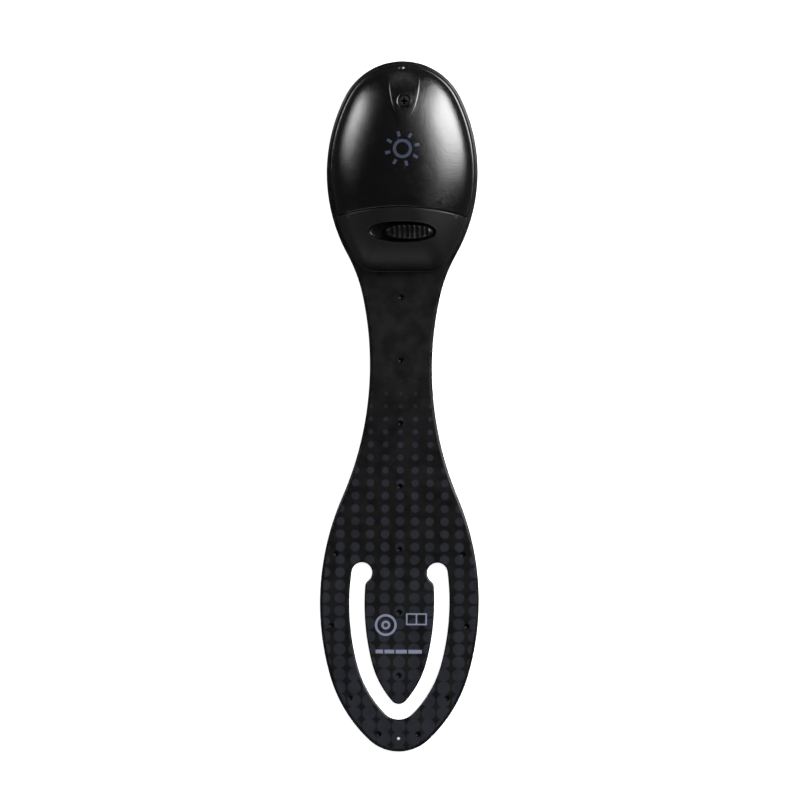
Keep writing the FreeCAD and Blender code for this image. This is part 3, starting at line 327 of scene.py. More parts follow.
def lobe_arc():
    """The slot's round end, which touches the slot's outer edge from inside."""
    side = blade_arcs(SLOT)[0]
    reach = sqrt((side.radius - LOBE_R) ** 2 - (LOBE_Y - side.centre.y) ** 2)
    return Arc((side.centre.x + reach, LOBE_Y), LOBE_R, True, 0.35)


def slot_loop(arcs, inset, bottom):
    """A loop that starts with the line between the lobes, where the tongue leaves the frame."""
    reach = arcs[0].centre.x - LOBE_R - inset
    return loop_of(arcs, inset, (0, bottom), [(reach * step / 8, LOBE_Y) for step in range(8)])


def window_loop(inset):
    """Edge of the clip's window, pushed into the frame by the inset."""
    lobe = lobe_arc()
    bottom = SLOT[5]
    arcs = chain([lobe] + blade_arcs(SLOT, True), lobe.centre - Vector((LOBE_R, 0)), (0, bottom))
    if lobe.turn > 0:
        lobe.turn -= 2 * pi
        lobe.count = 30
    return slot_loop(arcs, inset, bottom - inset)


def tongue_loop(inset):
    """Edge of the tongue, drawn in by the inset."""
    lobe = lobe_arc()
    side, flank, tip = blade_arcs(TONGUE)
    bottom = TONGUE[5]
    corners = circles_meet(lobe.centre, LOBE_R + SHOULDER_R, side.centre, side.radius - SHOULDER_R)
    shoulder = Arc(min(corners, key=lambda p: p.y), SHOULDER_R, False, 0.3)
    arcs = chain([lobe, shoulder, side, flank, tip], lobe.centre - Vector((LOBE_R, 0)), (0, bottom))
    return slot_loop(arcs, inset, bottom + inset)


def shell_loop(inset=0.0, bottom=None):
    """Plan of the head shell, or of the seat cut for it when a bottom line is given."""
    pull = SHELL_INSET + inset
    corner_r = SHELL_CORNER - inset
    foot_y = SHELL_BOTTOM + inset
    if bottom is not None:
        corner_r = SEAT_CORNER
        foot_y = bottom
    top = Arc((0, LENGTH / 2 - TOP_R), TOP_R - pull)
    side = Arc((HEAD_HALF - head_side_r(), HEAD_Y), head_side_r() - pull)
    corner_y = foot_y + corner_r
    x = side.centre.x + sqrt((side.radius - corner_r) ** 2 - (corner_y - HEAD_Y) ** 2)
    corner = Arc((x, corner_y), corner_r)
    arcs = chain([top, side, corner], (0, top.centre.y + top.radius), (x, foot_y))
    for arc, count in zip(arcs, (28, 72, 26)):
        arc.count = count
    half = [point for arc in arcs for point in arc.points(0.0)]
    half += [(x * (1 - step / 12), foot_y) for step in range(12)]
    return mirrored(half, (0, foot_y))


STRIP_ARCS = strip_arcs()
SHELL_PLAN = shell_loop()


def shell_reach(angle):
    """Distance from the shell's middle to its plan edge in each direction."""
    plan = np.array(SHELL_PLAN) - np.array((0, SHELL_MID))
    directions = np.unwrap(np.arctan2(plan[:, 1], plan[:, 0]))
    order = np.argsort(directions)
    return np.interp(angle, directions[order], np.hypot(*plan[order].T), period=2 * pi)


def dome_height(x, y):
    """Height of the shell's outside over a point of the plan."""
    share = hypot(x, y - SHELL_MID) / float(shell_reach(atan2(y - SHELL_MID, x)))
    return SHELL_BASE + SHELL_HEIGHT * max(1 - share ** SHELL_POWER, 0.0) ** (1 / SHELL_POWER)


def seam_line(x):
    return SEAM_Y - SEAM_R + sqrt(SEAM_R ** 2 - x ** 2)


# ---- mesh helpers
def clamped(value):
    return min(max(value, 0.0), 1.0)


def turns(count):
    """Angles all the way round."""
    return [2 * pi * step / count for step in range(count)]


def quarter(count):
    """Angles of a quarter turn, with both ends."""
    return [pi / 2 * step / count for step in range(count + 1)]


def ring(bm, points, height):
    """A ring of points at one height, or at the height a function gives for each of them."""
    if callable(height):
        return [bm.verts.new((x, y, height(x, y))) for x, y in points]
    return [bm.verts.new((x, y, height)) for x, y in points]


def bridge(bm, rings, closed=False):
    """Quads between neighbouring rings of one length; closed joins the last to the first."""
    count = len(rings[0])
    for lower, upper in zip(rings, rings[1:] + (rings[:1] if closed else [])):
        for index in range(count):
            after = (index + 1) % count
            bm.faces.new((lower[index], lower[after], upper[after], upper[index]))


def cap(bm, rings):
    """Flat ends on the first and the last ring."""
    bm.faces.new(rings[0][::-1])
    bm.faces.new(rings[-1])


def stack(bm, loop, profile):
    """Rings of one loop at each (inset, height) of a profile, joined into walls."""
    rings = [ring(bm, loop(inset), height) for inset, height in profile]
    bridge(bm, rings)
    return rings


def fill(bm, *rings):
    """Flat triangles between an outer ring and the rings of its holes."""
    pairs = [pair for verts in rings for pair in zip(verts, verts[1:] + verts[:1])]
    edges = [bm.edges.get(pair) or bm.edges.new(pair) for pair in pairs]
    bmesh.ops.triangle_fill(bm, use_beauty=True, use_dissolve=False, edges=edges, normal=(0, 0, 1))


def circle(centre, count):
    """A loop function for a round hole; a bigger inset makes it wider."""
    def loop(radius):
        return [(centre[0] + radius * cos(a), centre[1] + radius * sin(a)) for a in turns(count)]
    return loop


def rim_profile(radius):
    """Insets and heights round a rounded edge, from the lower face to the upper one."""
    lower = [(radius + SUPPORT, 0.0)]
    lower += [(radius - radius * sin(a), radius - radius * cos(a)) for a in quarter(RIM_STEPS)]
    return lower + [(inset, THICK - height) for inset, height in reversed(lower)]


def split(bm, height, keep=0):
    """Cut across Y; keep -1 drops what lies above, 1 what lies below. Returns the cut edges."""
    everything = bm.verts[:] + bm.edges[:] + bm.faces[:]
    cut = bmesh.ops.bisect_plane(
        bm, geom=everything, dist=1e-6, plane_co=(0, height, 0), plane_no=(0, 1, 0),
        clear_outer=keep < 0, clear_inner=keep > 0)
    return [item for item in cut["geom_cut"] if isinstance(item, bmesh.types.BMEdge)]


def pin_mark(bm, centre):
    """A small round blind mark with a softened mouth; returns the ring at its mouth."""
    profile = [(PIN_R - inset, THICK - depth) for inset, depth in PIN_EDGE]
    rings = stack(bm, circle(centre, 20), profile)
    bm.faces.new(rings[0])
    return rings[-1]


def open_flat(bm, height):
    """Drop the big flat face at a height and return its ring of points."""
    flat = [face for face in bm.faces if all(abs(vert.co.z - height) < 1e-6 for vert in face.verts)]
    face = max(flat, key=lambda item: item.calc_area())
    outer = list(face.verts)
    bmesh.ops.delete(bm, geom=[face], context="FACES_ONLY")
    return outer


def finish_mesh(bm, name, material, sharp=35.0):
    """Turn a bmesh in millimetres into a smooth-shaded object in metres that knows its rest place."""
    bmesh.ops.remove_doubles(bm, verts=bm.verts[:], dist=1e-5)
    bmesh.ops.recalc_face_normals(bm, faces=bm.faces[:])
    bmesh.ops.transform(bm, matrix=Matrix.Scale(MM, 4), verts=bm.verts[:])
    mesh = bpy.data.meshes.new(name)
    bm.to_mesh(mesh)
    bm.free()
    mesh.shade_smooth()
    mesh.set_sharp_from_angle(angle=radians(sharp))
    places = np.zeros(len(mesh.vertices) * 3, np.float32)
    mesh.vertices.foreach_get("co", places)
    rest = mesh.attributes.get("rest") or mesh.attributes.new("rest", "FLOAT_VECTOR", "POINT")
    rest.data.foreach_set("vector", places / MM)
    mesh.materials.append(material)
    return place_object(name, mesh)


def finish_skin(bm, name, material):
    """A finished strip piece that also notes which points lie on its rounded rim, for wear."""
    piece = finish_mesh(bm, name, material)
    heights = np.array([vert.co.z for vert in piece.data.vertices]) / MM
    rim = ((heights > 0.03) & (heights < THICK - 0.03)).astype(np.float32)
    piece.data.attributes.new("rim", "FLOAT", "POINT").data.foreach_set("value", rim)
    return piece


def place_object(name, data, location=(0.0, 0.0, 0.0), turn=(0.0, 0.0, 0.0)):
    made = bpy.data.objects.new(name, data)
    made.location = location
    made.rotation_euler = turn
    bpy.context.scene.collection.objects.link(made)
    return made


# ---- materials
class Paint:
    """A material with a short way to write its nodes."""

    def __init__(self, name, cad=False):
        self.material = bpy.data.materials.new(name)
        self.material.use_nodes = True
        self.tree = self.material.node_tree
        self.tree.nodes.clear()
        self.shader = self.node("BsdfPrincipled")
        output = self.node("OutputMaterial")
        self.tree.links.new(self.shader.outputs[0], output.inputs[0])
        self.place = self.cad_place() if cad else self.rest_place()
        self.x, self.y, self.z = self.node("SeparateXYZ", {0: self.place}).outputs[:3]

    def node(self, kind, inputs=None, **settings):
        made = self.tree.nodes.new("ShaderNode" + kind)
        for key, value in settings.items():
            setattr(made, key, value)
        for key, value in (inputs or {}).items():
            self.put(made.inputs[key], value)
        return made

    def put(self, socket, value):
        if isinstance(value, bpy.types.NodeSocket):
            self.tree.links.new(value, socket)
        else:
            socket.default_value = value

    def math(self, operation, *values):
        return self.node("Math", dict(enumerate(values)), operation=operation).outputs[0]

    def plus(self, first, second):
        return self.math("ADD", first, second)

    def minus(self, first, second):
        return self.math("SUBTRACT", first, second)

    def times(self, first, second):
        return self.math("MULTIPLY", first, second)

    def shift(self, base, value, factor):
        """The base changed by the value times the factor."""
        return self.math("MULTIPLY_ADD", value, factor, base)

    def squares(self, dx, dy):
        return self.plus(self.times(dx, dx), self.times(dy, dy))

    def length(self, dx, dy):
        return self.math("SQRT", self.squares(dx, dy))

    def within(self, value, limit, soft=0.06):
        """1 where the value is below the limit, with a soft edge."""
        return self.ramp(value, limit - soft, limit + soft, 1.0, 0.0)

    def ramp(self, value, low, high, start=0.0, end=1.0):
        """A smooth step from start to end as value goes from low to high."""
        inputs = dict(enumerate((value, low, high, start, end)))
        return self.node("MapRange", inputs, interpolation_type="SMOOTHSTEP").outputs[0]

    def mix(self, share, first, second):
        return self.node("Mix", {0: share, 6: first, 7: second}, data_type="RGBA").outputs[2]

    def noise(self, scale, detail=3.0, rough=0.5, place=None):
        made = self.node("TexNoise", {"Vector": place or self.place, "Scale": scale, "Detail": detail,
                                      "Roughness": rough})
        return made.outputs[0]

    def rest_place(self):
        """Place on the piece at rest, in millimetres, so that nothing slides when it bends."""
        return self.node("Attribute", attribute_name="rest").outputs["Vector"]

    def cad_place(self):
        """Place on a CAD node, in millimetres."""
        where = self.node("TexCoord").outputs["Object"]
        scaled = self.node("VectorMath", {0: where, "Scale": 1 / MM}, operation="SCALE")
        return scaled.outputs[0]

    def bump(self, *layers):
        """Stack (height, distance in mm, strength) layers into one normal."""
        normal = None
        for height, distance, strength in layers:
            made = self.node("Bump", {"Height": height, "Distance": distance * MM, "Strength": strength})
            if normal is not None:
                self.put(made.inputs["Normal"], normal)
            normal = made.outputs[0]
        self.put(self.shader.inputs["Normal"], normal)

    def look(self, **values):
        """Set or link the shader's sockets by name and return the finished material."""
        for key, value in values.items():
            self.put(self.shader.inputs[key.replace("_", " ")], value)
        return self.material


def grey(value, blue=1.0):
    return (value, value, value * blue, 1.0)


def dot_share(paint):
    """Cover of the printed dots: a square grid whose dots grow toward the tip."""
    grid = []
    for value, pitch in zip((paint.x, paint.y), DOT_PITCH):
        turned = paint.math("FRACT", paint.plus(paint.math("DIVIDE", value, pitch), 100.5))
        grid.append(paint.times(paint.minus(turned, 0.5), pitch))
    radius = paint.math("MINIMUM", paint.shift(0.546, paint.y, -0.024), paint.shift(0.717, paint.y, -0.0137))
    inside = paint.within(paint.minus(paint.length(*grid), radius), 0.0, 0.1)
    return paint.times(inside, paint.ramp(paint.y, *DOTS_END, 1.0, 0.0))


def box_share(paint, centre, half_x, half_y):
    """Cover of a plain printed rectangle."""
    parts = []
    for value, middle, half in ((paint.x, centre[0], half_x), (paint.y, centre[1], half_y)):
        parts.append(paint.within(paint.math("ABSOLUTE", paint.minus(value, middle)), half))
    return paint.times(*parts)


def ring_share(paint, centre, radius, half_width):
    """Cover of a printed ring."""
    away = paint.length(paint.minus(paint.x, centre[0]), paint.minus(paint.y, centre[1]))
    return paint.within(paint.math("ABSOLUTE", paint.minus(away, radius)), half_width)


def ray_share(paint, centre, tilt, near, far, half_width):
    """Cover of short rays round a centre."""
    dx = paint.minus(paint.x, centre[0])
    dy = paint.minus(paint.y, centre[1])
    away = paint.length(dx, dy)
    step = 2 * pi / SUN_RAYS
    turns = paint.math("DIVIDE", paint.math("ARCTAN2", dy, dx), step)
    turned = paint.math("FRACT", paint.plus(turns, SUN_RAYS + 0.5 - tilt / step))
    sector = paint.times(paint.minus(turned, 0.5), step)
    across = paint.math("ABSOLUTE", paint.times(paint.math("SINE", sector), away))
    middle = (near + far) / 2
    along = paint.math("ABSOLUTE", paint.minus(away, middle))
    return paint.times(paint.within(across, half_width), paint.within(along, far - middle))


def joined(paint, shares):
    total = shares[0]
    for share in shares[1:]:
        total = paint.math("MAXIMUM", total, share)
    return total


def tongue_marks(paint):
    """Generic printed marks on the tongue: two rings, an open book and plain bars."""
    shares = [ring_share(paint, RINGS_AT, radius, half) for radius, half in ((2.6, 0.32), (0.9, 0.3))]
    book_x, book_y = BOOK_AT
    boxes = [(0.0, 0.0, 0.2, 1.6)]
    for side in (-1, 1):
        boxes += [(side * 1.35, -1.4, 1.35, 0.2), (side * 2.6, 0.0, 0.2, 1.6), (side * 1.3, 1.4, 1.3, 0.2)]
    for dx, dy, half_x, half_y in boxes:
        shares.append(box_share(paint, (book_x + dx, book_y + dy), half_x, half_y))
    for start, half in BARS:
        shares.append(box_share(paint, (start, BARS_Y), half, 0.5))
    return joined(paint, shares)


def skin_paint(name, marks=False):
    """Soft matt black skin with fine grain, printed dots and slightly worn rims."""
    paint = Paint(name)
    mottle = paint.noise(0.3, 5.0, 0.65)
    grain = paint.noise(3.0, 4.0, 0.65)
    patches = paint.ramp(mottle, 0.3, 0.7)
    base = paint.mix(patches, (0.0016, 0.0014, 0.0020, 1.0), (0.0052, 0.0049, 0.0058, 1.0))
    base = paint.mix(paint.times(grain, 0.35), base, grey(0.007, 1.08))
    rim = paint.node("Attribute", attribute_name="rim").outputs["Fac"]
    dots = paint.times(dot_share(paint), paint.minus(1.0, rim))
    patchy = paint.ramp(paint.noise(0.16, 3.0, 0.6), 0.3, 0.7, 0.62, 1.0)
    bare = paint.minus(paint.ramp(paint.y, *DOTS_END, 1.0, 0.0), dots)
    base = paint.mix(paint.times(bare, 0.3), base, grey(0.0008))
    colour = paint.mix(paint.times(dots, patchy), base, (0.0132, 0.0150, 0.0202, 1.0))
    if marks:
        rear = paint.ramp(paint.z, THICK - 0.1, THICK - 0.02)
        print_share = paint.times(tongue_marks(paint), rear)
        colour = paint.mix(print_share, colour, (0.150, 0.163, 0.238, 1.0))
    worn = paint.times(rim, paint.ramp(paint.noise(0.8, 5.0, 0.7), 0.52, 0.75))
    colour = paint.mix(paint.times(worn, 0.5), colour, grey(0.035))
    rough = paint.shift(paint.shift(paint.shift(0.33, patches, 0.12), dots, -0.04), rim, -0.10)
    level = paint.shift(paint.shift(0.5, rim, -0.13), bare, -0.07)
    paint.bump((grain, 0.03, 0.7), (mottle, 0.05, 0.5), (dots, 0.01, 0.5))
    return paint.look(Base_Color=colour, Roughness=rough, IOR=1.345, Specular_IOR_Level=level)


def shell_paint(name, base_value, rough_value, ior, grain_depth, mark=False, hollow=False):
    """Satin moulded plastic with fine grain that breaks up its reflections."""
    paint = Paint(name)
    look = {}
    grain = paint.noise(3.3, 3.0, 0.6)
    fine = paint.noise(6.0, 2.0, 0.5)
    handled = paint.noise(0.12, 4.0, 0.6)
    colour = paint.mix(handled, grey(base_value * 0.8, 1.1), grey(base_value * 1.25, 1.08))
    if mark:
        sun = joined(paint, [
            ring_share(paint, SUN_AT, 2.15, 0.42),
            ray_share(paint, SUN_AT, radians(15), 3.35, 4.75, 0.42),
        ])
        sun = paint.times(sun, paint.ramp(paint.z, 10.0, 11.0))
        colour = paint.mix(sun, colour, (0.034, 0.040, 0.064, 1.0))
    rough = paint.shift(paint.shift(rough_value - 0.05, handled, 0.10), fine, 0.08)
    if hollow:
        # Painted shade: inside the switch recess the colour is darkened to near black and the specular level
        # turned down, where the recess walls and the knob shade it.
        along = paint.math("DIVIDE", paint.minus(paint.y, SWITCH_Y), RECESS_WIDE)
        away = paint.squares(paint.math("DIVIDE", paint.x, RECESS_HALF), along)
        colour = paint.mix(paint.ramp(away, 0.78, 0.98, 0.8, 0.0), colour, grey(0.0012))
        rubbed = paint.times(paint.ramp(away, 0.8, 0.92), paint.ramp(away, 1.0, 1.12, 1.0, 0.0))
        rough = paint.shift(rough, rubbed, -0.14)
        look["Specular_IOR_Level"] = paint.shift(paint.ramp(away, 0.7, 0.88, 0.12, 0.5), rubbed, 0.5)
    paint.bump((grain, grain_depth, 1.0), (fine, 0.02, 1.0))
    return paint.look(Base_Color=colour, Roughness=rough, IOR=ior, **look)


def knob_paint():
    """Plain moulded plastic, duller down in the grooves."""
    paint = Paint("knob_plastic")
    along = paint.times(paint.minus(paint.x, KNOB_X), 2 * pi / RIDGE_PITCH)
    level = paint.ramp(paint.math("COSINE", along), -0.1, 0.9, 0.08, 0.4)
    grain = paint.noise(8.0, 3.0, 0.6)
    colour = paint.mix(paint.noise(0.9, 3.0), grey(0.002, 1.1), grey(0.005, 1.08))
    paint.bump((grain, 0.02, 0.5))
    return paint.look(Base_Color=colour, Roughness=paint.shift(0.26, grain, 0.12), IOR=1.36,
                      Specular_IOR_Level=level)


def screw_paint():
    """Blackened steel; the cross in the head is darkened with painted shade."""
    paint = Paint("screw_black")
    away = paint.squares(paint.minus(paint.x, SCREW[0]), paint.minus(paint.y, SCREW[1]))
    top = SCREW_HEAD[1]
    # Painted shade: inside the cross recess of the head the colour turns near black and the specular level
    # drops.
    clear_of_painted_shade = paint.math("MAXIMUM", paint.ramp(paint.z, top - 0.2, top - 0.02), paint.ramp(away, 0.9, 1.1))
    fine = paint.noise(5.0, 3.0, 0.6)
    colour = paint.mix(clear_of_painted_shade, grey(0.0006), paint.mix(fine, grey(0.008), grey(0.020)))
    paint.bump((fine, 0.02, 0.5))
    return paint.look(Base_Color=colour, Roughness=paint.shift(0.25, fine, 0.15), IOR=1.6,
                      Specular_IOR_Level=paint.times(clear_of_painted_shade, 0.5))


def cad_paint(name, dark, light, rough, scale=1.2, bump=0.02):
    """A plain procedural finish for a CAD node: two tones, uneven gloss and fine relief."""
    paint = Paint(name, cad=True)
    tone = paint.noise(scale, 4.0, 0.6)
    fine = paint.noise(scale * 9, 3.0, 0.6)
    colour = paint.mix(tone, dark, light)
    paint.bump((fine, bump, 0.5))
    return paint.look(Base_Color=colour, Roughness=paint.shift(rough - 0.1, fine, 0.2))


def brushed_paint(name, dark, light, rough):
    """Rolled or turned metal with fine lines along X."""
    paint = Paint(name, cad=True)
    across = paint.node("CombineXYZ", {0: paint.times(paint.x, 0.15), 1: paint.y, 2: paint.z}).outputs[0]
    lines = paint.noise(9.0, 4.0, 0.7, across)
    paint.bump((lines, 0.01, 0.5))
    return paint.look(Base_Color=paint.mix(lines, dark, light), Metallic=1.0,
                      Roughness=paint.shift(rough - 0.1, lines, 0.2))


def lens_paint():
    """Clear moulded lens with faint flow marks."""
    paint = Paint("clear_lens")
    flow = paint.noise(0.5, 2.0)
    paint.bump((flow, 0.03, 0.3))
    rough = paint.shift(0.02, paint.noise(3.0, 3.0), 0.05)
    colour = paint.mix(flow, (0.93, 0.95, 0.97, 1), (0.99, 0.99, 1.0, 1))
    return paint.look(Base_Color=colour, Roughness=rough, IOR=1.49, Transmission_Weight=1.0)


SKIN = skin_paint("soft_skin")
TONGUE_SKIN = skin_paint("soft_skin_tongue", marks=True)
DOOR_PAINT = shell_paint("door_plastic", 0.0020, 0.12, 1.72, 0.065, mark=True)
COVER_PAINT = shell_paint("cover_plastic", 0.0038, 0.36, 1.41, 0.045, hollow=True)
KNOB_PAINT = knob_paint()
SCREW_PAINT = screw_paint()
LENS_PAINT = lens_paint()
METALS = [
    ("core_metal", grey(0.42), grey(0.62), 0.42),
    ("reflector_metal", grey(0.78), grey(0.9), 0.18),
    ("cell_steel", grey(0.5), grey(0.72), 0.3),
    ("contact_brass", (0.6, 0.42, 0.16, 1), (0.82, 0.62, 0.3, 1), 0.32),
    ("screw_steel", grey(0.03), grey(0.09), 0.34),
]
PLAIN = [
    ("inner_plastic", grey(0.03), grey(0.06), 0.5),
    ("shell_plastic", grey(0.008, 1.1), grey(0.016, 1.1), 0.4),
    ("led_yellow", (0.7, 0.45, 0.05, 1), (0.9, 0.66, 0.12, 1), 0.4, 3.0),
    ("board_resin", (0.006, 0.05, 0.02, 1), (0.01, 0.09, 0.035, 1), 0.4),
    ("knob_plastic", grey(0.01), grey(0.02), 0.4),
    ("soft_skin", grey(0.01), grey(0.016), 0.5),
    ("foam_pad", grey(0.012), grey(0.05), 0.9, 4.0, 0.15),
]
CAD_PAINTS = {"lens_clear": LENS_PAINT}
for make_paint, rows in ((brushed_paint, METALS), (cad_paint, PLAIN)):
    for slot, *look in rows:
        CAD_PAINTS[slot] = make_paint("cad_" + slot, *look)


# ---- strip
def strip_part(low, high):
    """The stretch of the strip between two heights, or its end, as a closed rounded plate."""
    bm = bmesh.new()
    cap(bm, stack(bm, strip_loop, rim_profile(RIM_ROUND)))
    for height, keep in ((low, 1), (high, -1)):
        if height is not None:
            bmesh.ops.holes_fill(bm, edges=split(bm, height, keep), sides=0)
    return bm


def make_neck():
    """One skin piece over each hinge, from the head down, cut in thin slices across its bend zone."""
    middles = [(above + below) / 2 for above, below in zip(HINGE_Y, HINGE_Y[1:])]
    seams = [HEAD_SEAM] + [middle - SEAM_BELOW_MIDDLE for middle in middles] + [CLIP_SEAM]
    for hinge, y in enumerate(HINGE_Y, start=1):
        bm = strip_part(seams[hinge], seams[hinge - 1])
        if hinge in NECK_PINS:
            fill(bm, open_flat(bm, THICK), pin_mark(bm, (0.0, NECK_PINS[hinge])))
        for step in range(round((BEND_BELOW + BEND_ABOVE) / SLICE) + 1):
            split(bm, y + BEND_ABOVE - step * SLICE)
        piece = finish_skin(bm, "neck_skin_over_hinge_%d" % hinge, SKIN)
        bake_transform(piece)
        if hinge < len(HINGE_Y):
            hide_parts("neck_skin_%d" % hinge)


def make_clip_frame():
    """The page clip round its slot, with pin marks and the hole at the tip."""
    bm = strip_part(None, CLIP_SEAM)
    top = open_flat(bm, THICK)
    bottom = open_flat(bm, 0.0)
    window = stack(bm, window_loop, rim_profile(SLOT_ROUND))
    wide = TIP_HOLE_R + TIP_HOLE_EDGE
    hole = stack(bm, circle(TIP_HOLE, 16), [(wide, 0.0), (TIP_HOLE_R, TIP_HOLE_EDGE),
                                            (TIP_HOLE_R, THICK - TIP_HOLE_EDGE), (wide, THICK)])
    fill(bm, top, window[-1], hole[-1], *[pin_mark(bm, centre) for centre in CLIP_PINS])
    fill(bm, bottom, window[0], hole[0])
    piece = finish_skin(bm, "clip_skin", SKIN)
    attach(piece, "clip")
    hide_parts("clip_frame")


def make_tongue():
    """The tongue that the slot leaves free, cut in thin slices across the bend at its root."""
    bm = bmesh.new()
    rings = stack(bm, tongue_loop, rim_profile(SLOT_ROUND))
    bm.faces.new(rings[0][::-1])
    fill(bm, rings[-1], *[pin_mark(bm, centre) for centre in TONGUE_PINS])
    for step in range(1, round(TONGUE_BEND / SLICE) + 1):
        split(bm, LOBE_Y - step * SLICE)
    piece = finish_skin(bm, "tongue_skin", TONGUE_SKIN)
    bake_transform(piece)
    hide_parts("clip_tongue")


def make_head_skin():
    """The skin under the head, with the shell's seat behind and the light's hole in front."""
    bm = strip_part(HEAD_SEAM, None)
    rear = open_flat(bm, THICK)
    front = open_flat(bm, 0.0)
    seat = stack(bm, lambda inset: shell_loop(SEAT_INSET + inset, SEAT_BOTTOM),
                 [(0.0, THICK), (0.0, SEAT_FLOOR)])
    lip = LIGHT_HOLE_LIP
    hole = stack(bm, circle((0.0, LIGHT_Y), 72), [
        (LIGHT_HOLE_R + lip, 0.0), (LIGHT_HOLE_R + lip * 0.3, lip * 0.3), (LIGHT_HOLE_R, lip),
        (LIGHT_HOLE_R, SEAT_FLOOR)])
    fill(bm, rear, seat[0])
    fill(bm, seat[1], hole[-1])
    fill(bm, front, hole[0])
    piece = finish_skin(bm, "head_skin_visible", SKIN)
    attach(piece, "head")
    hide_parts("head_skin")


# ---- head shell
def dome_shell():
    """The whole head shell as one closed wall: its plan drawn in through a superellipse profile."""
    bm = bmesh.new()
    plan = np.array(SHELL_PLAN)
    centre = np.array((0.0, SHELL_MID))
    shrink = 1 - SHELL_WALL / (HEAD_HALF - SHELL_INSET)

    def drawn(scale, height):
        return ring(bm, centre + (plan - centre) * scale, SHELL_BASE + height)
    outer = [ring(bm, shell_loop(-reach), SHELL_BASE + height) for reach, height in FOOT_BEAD]
    inner = [drawn(shrink, 0.0)]
    for step in range(3, DOME_STEPS):
        angle = pi / 2 * (step / DOME_STEPS) ** DOME_CROWDING
        scale = cos(angle) ** (2 / SHELL_POWER)
        height = SHELL_HEIGHT * sin(angle) ** (2 / SHELL_POWER)
        outer.append(drawn(scale, height))
        if step % 2:
            inner.append(drawn(scale * shrink, height * (1 - SHELL_WALL / SHELL_HEIGHT)))
    for rings in (outer, inner):
        bridge(bm, rings)
        bm.faces.new(rings[-1])
    bridge(bm, [outer[0], inner[0]])
    return bm


def split_at_seam(bm, offset, keep=0):
    """Cut along the seam, moved by an offset; keep 1 leaves the door's side, -1 the cover's."""
    for vert in bm.verts:
        vert.co.y -= seam_line(vert.co.x)
    edges = split(bm, offset, keep)
    if keep:
        bmesh.ops.triangle_fill(bm, use_beauty=True, use_dissolve=False, edges=edges, normal=(0, 1, 0))
    for vert in bm.verts:
        vert.co.y += seam_line(vert.co.x)


def soften_seam(bm, side):
    """Round the shell's edge along the seam; side is 1 for the door, -1 for the cover."""
    reach = SEAM_GAP / 2 + SEAM_ROUND
    for vert in bm.verts:
        gap = side * (vert.co.y - seam_line(vert.co.x))
        outside = vert.co.z > dome_height(vert.co.x, vert.co.y) - 0.1
        if gap < reach and outside:
            into = min((reach - gap) / SEAM_ROUND, 1.0)
            vert.co.z -= SEAM_ROUND * (1 - sqrt(1 - into ** 2))


def half_shell(side):
    """The door's or the cover's share of the shell, as a surface with a rounded seam edge."""
    bm = dome_shell()
    if side > 0:
        lift = DOOR_BASE - SHELL_BASE
        for vert in bm.verts:
            if vert.co.z < DOOR_BASE:
                vert.co.z += lift
    split_at_seam(bm, side * SEAM_GAP / 2, side)
    for share in SEAM_CUTS:
        split_at_seam(bm, side * (SEAM_GAP / 2 + SEAM_ROUND * share))
    soften_seam(bm, side)
    return bm


def carved_shell(side, paint, plan):
    """The door's or the cover's share in millimetres, with a hole of a given plan cut out of it."""
    shell = finish_mesh(half_shell(side), "shell", paint)
    bm = bmesh.new()
    cap(bm, stack(bm, lambda inset: plan, [(0.0, height) for height in CUT_HEIGHTS]))
    cutter = finish_mesh(bm, "cutter", paint)
    modifier = shell.modifiers.new("carve", "BOOLEAN")
    modifier.operation = "DIFFERENCE"
    modifier.solver = "EXACT"
    modifier.object = cutter
    bpy.context.view_layer.update()
    graph = bpy.context.evaluated_depsgraph_get()
    mesh = bpy.data.meshes.new_from_object(shell.evaluated_get(graph))
    bm = bmesh.new()
    bm.from_mesh(mesh)
    bmesh.ops.transform(bm, matrix=Matrix.Scale(1 / MM, 4), verts=bm.verts[:])
    for scrap in (shell, cutter):
        bpy.data.objects.remove(scrap)
    return bm


def pad_loop(inset):
    """Outline of the screw pad: half an ellipse that opens toward the head's top."""
    top_y = PAD_TOP_Y - inset
    reach = PAD_HALF - inset
    length = PAD_TOP_Y - PAD_FOOT_Y - 2 * inset
    half = [(reach * step / 8, top_y) for step in range(8)]
    half += [(reach * cos(a), top_y - length * sin(a)) for a in quarter(44)[:-1]]
    return [(x + SCREW[0], y) for x, y in mirrored(half, (0.0, PAD_FOOT_Y + inset))]


def pad_surface(drop):
    """Height of the pad over each place, lowered by the drop."""
    def height(x, y):
        fade = clamped((PAD_TOP_Y - y) / PAD_FADE)
        return dome_height(x, y) + PAD_RISE * fade * fade * (3 - 2 * fade) - drop
    return height


def add_screw_pad(bm):
    """Raised pad lying on the door, with the screw's counterbore through it."""
    profile = [(0.0, 1.0)] + [(PAD_ROUND * (1 - cos(a)), PAD_ROUND * (1 - sin(a))) for a in quarter(5)]
    profile += [(0.55, 0.0), (0.75, 0.0), (1.0, 0.0)]
    pad = stack(bm, pad_loop, [(inset, pad_surface(drop)) for inset, drop in profile])
    bore = [(BORE_R + wider, pad_surface(drop)) for wider, drop in BORE_MOUTH]
    bore += [(BORE_R, BORE_FLOOR), (BOSS_HOLE_R, BORE_FLOOR), (BOSS_HOLE_R, BORE_FLOOR - 1.0)]
    fill(bm, pad[-1], stack(bm, circle(SCREW, 40), bore)[0])


def add_tab(bm):
    """Small rounded lug at the door's far end, where a fingertip lifts it."""
    rings = []
    for step in range(1, TAB_STEPS):
        along = -cos(pi * step / TAB_STEPS)
        size = sqrt(1 - along ** 2)
        reaches = [Vector((along, size * sin(a), size * cos(a))) for a in turns(TAB_STEPS)]
        rings.append([bm.verts.new(Vector(TAB_PLACE) + reach * Vector(TAB_SIZE)) for reach in reaches])
    bridge(bm, rings)
    cap(bm, rings)


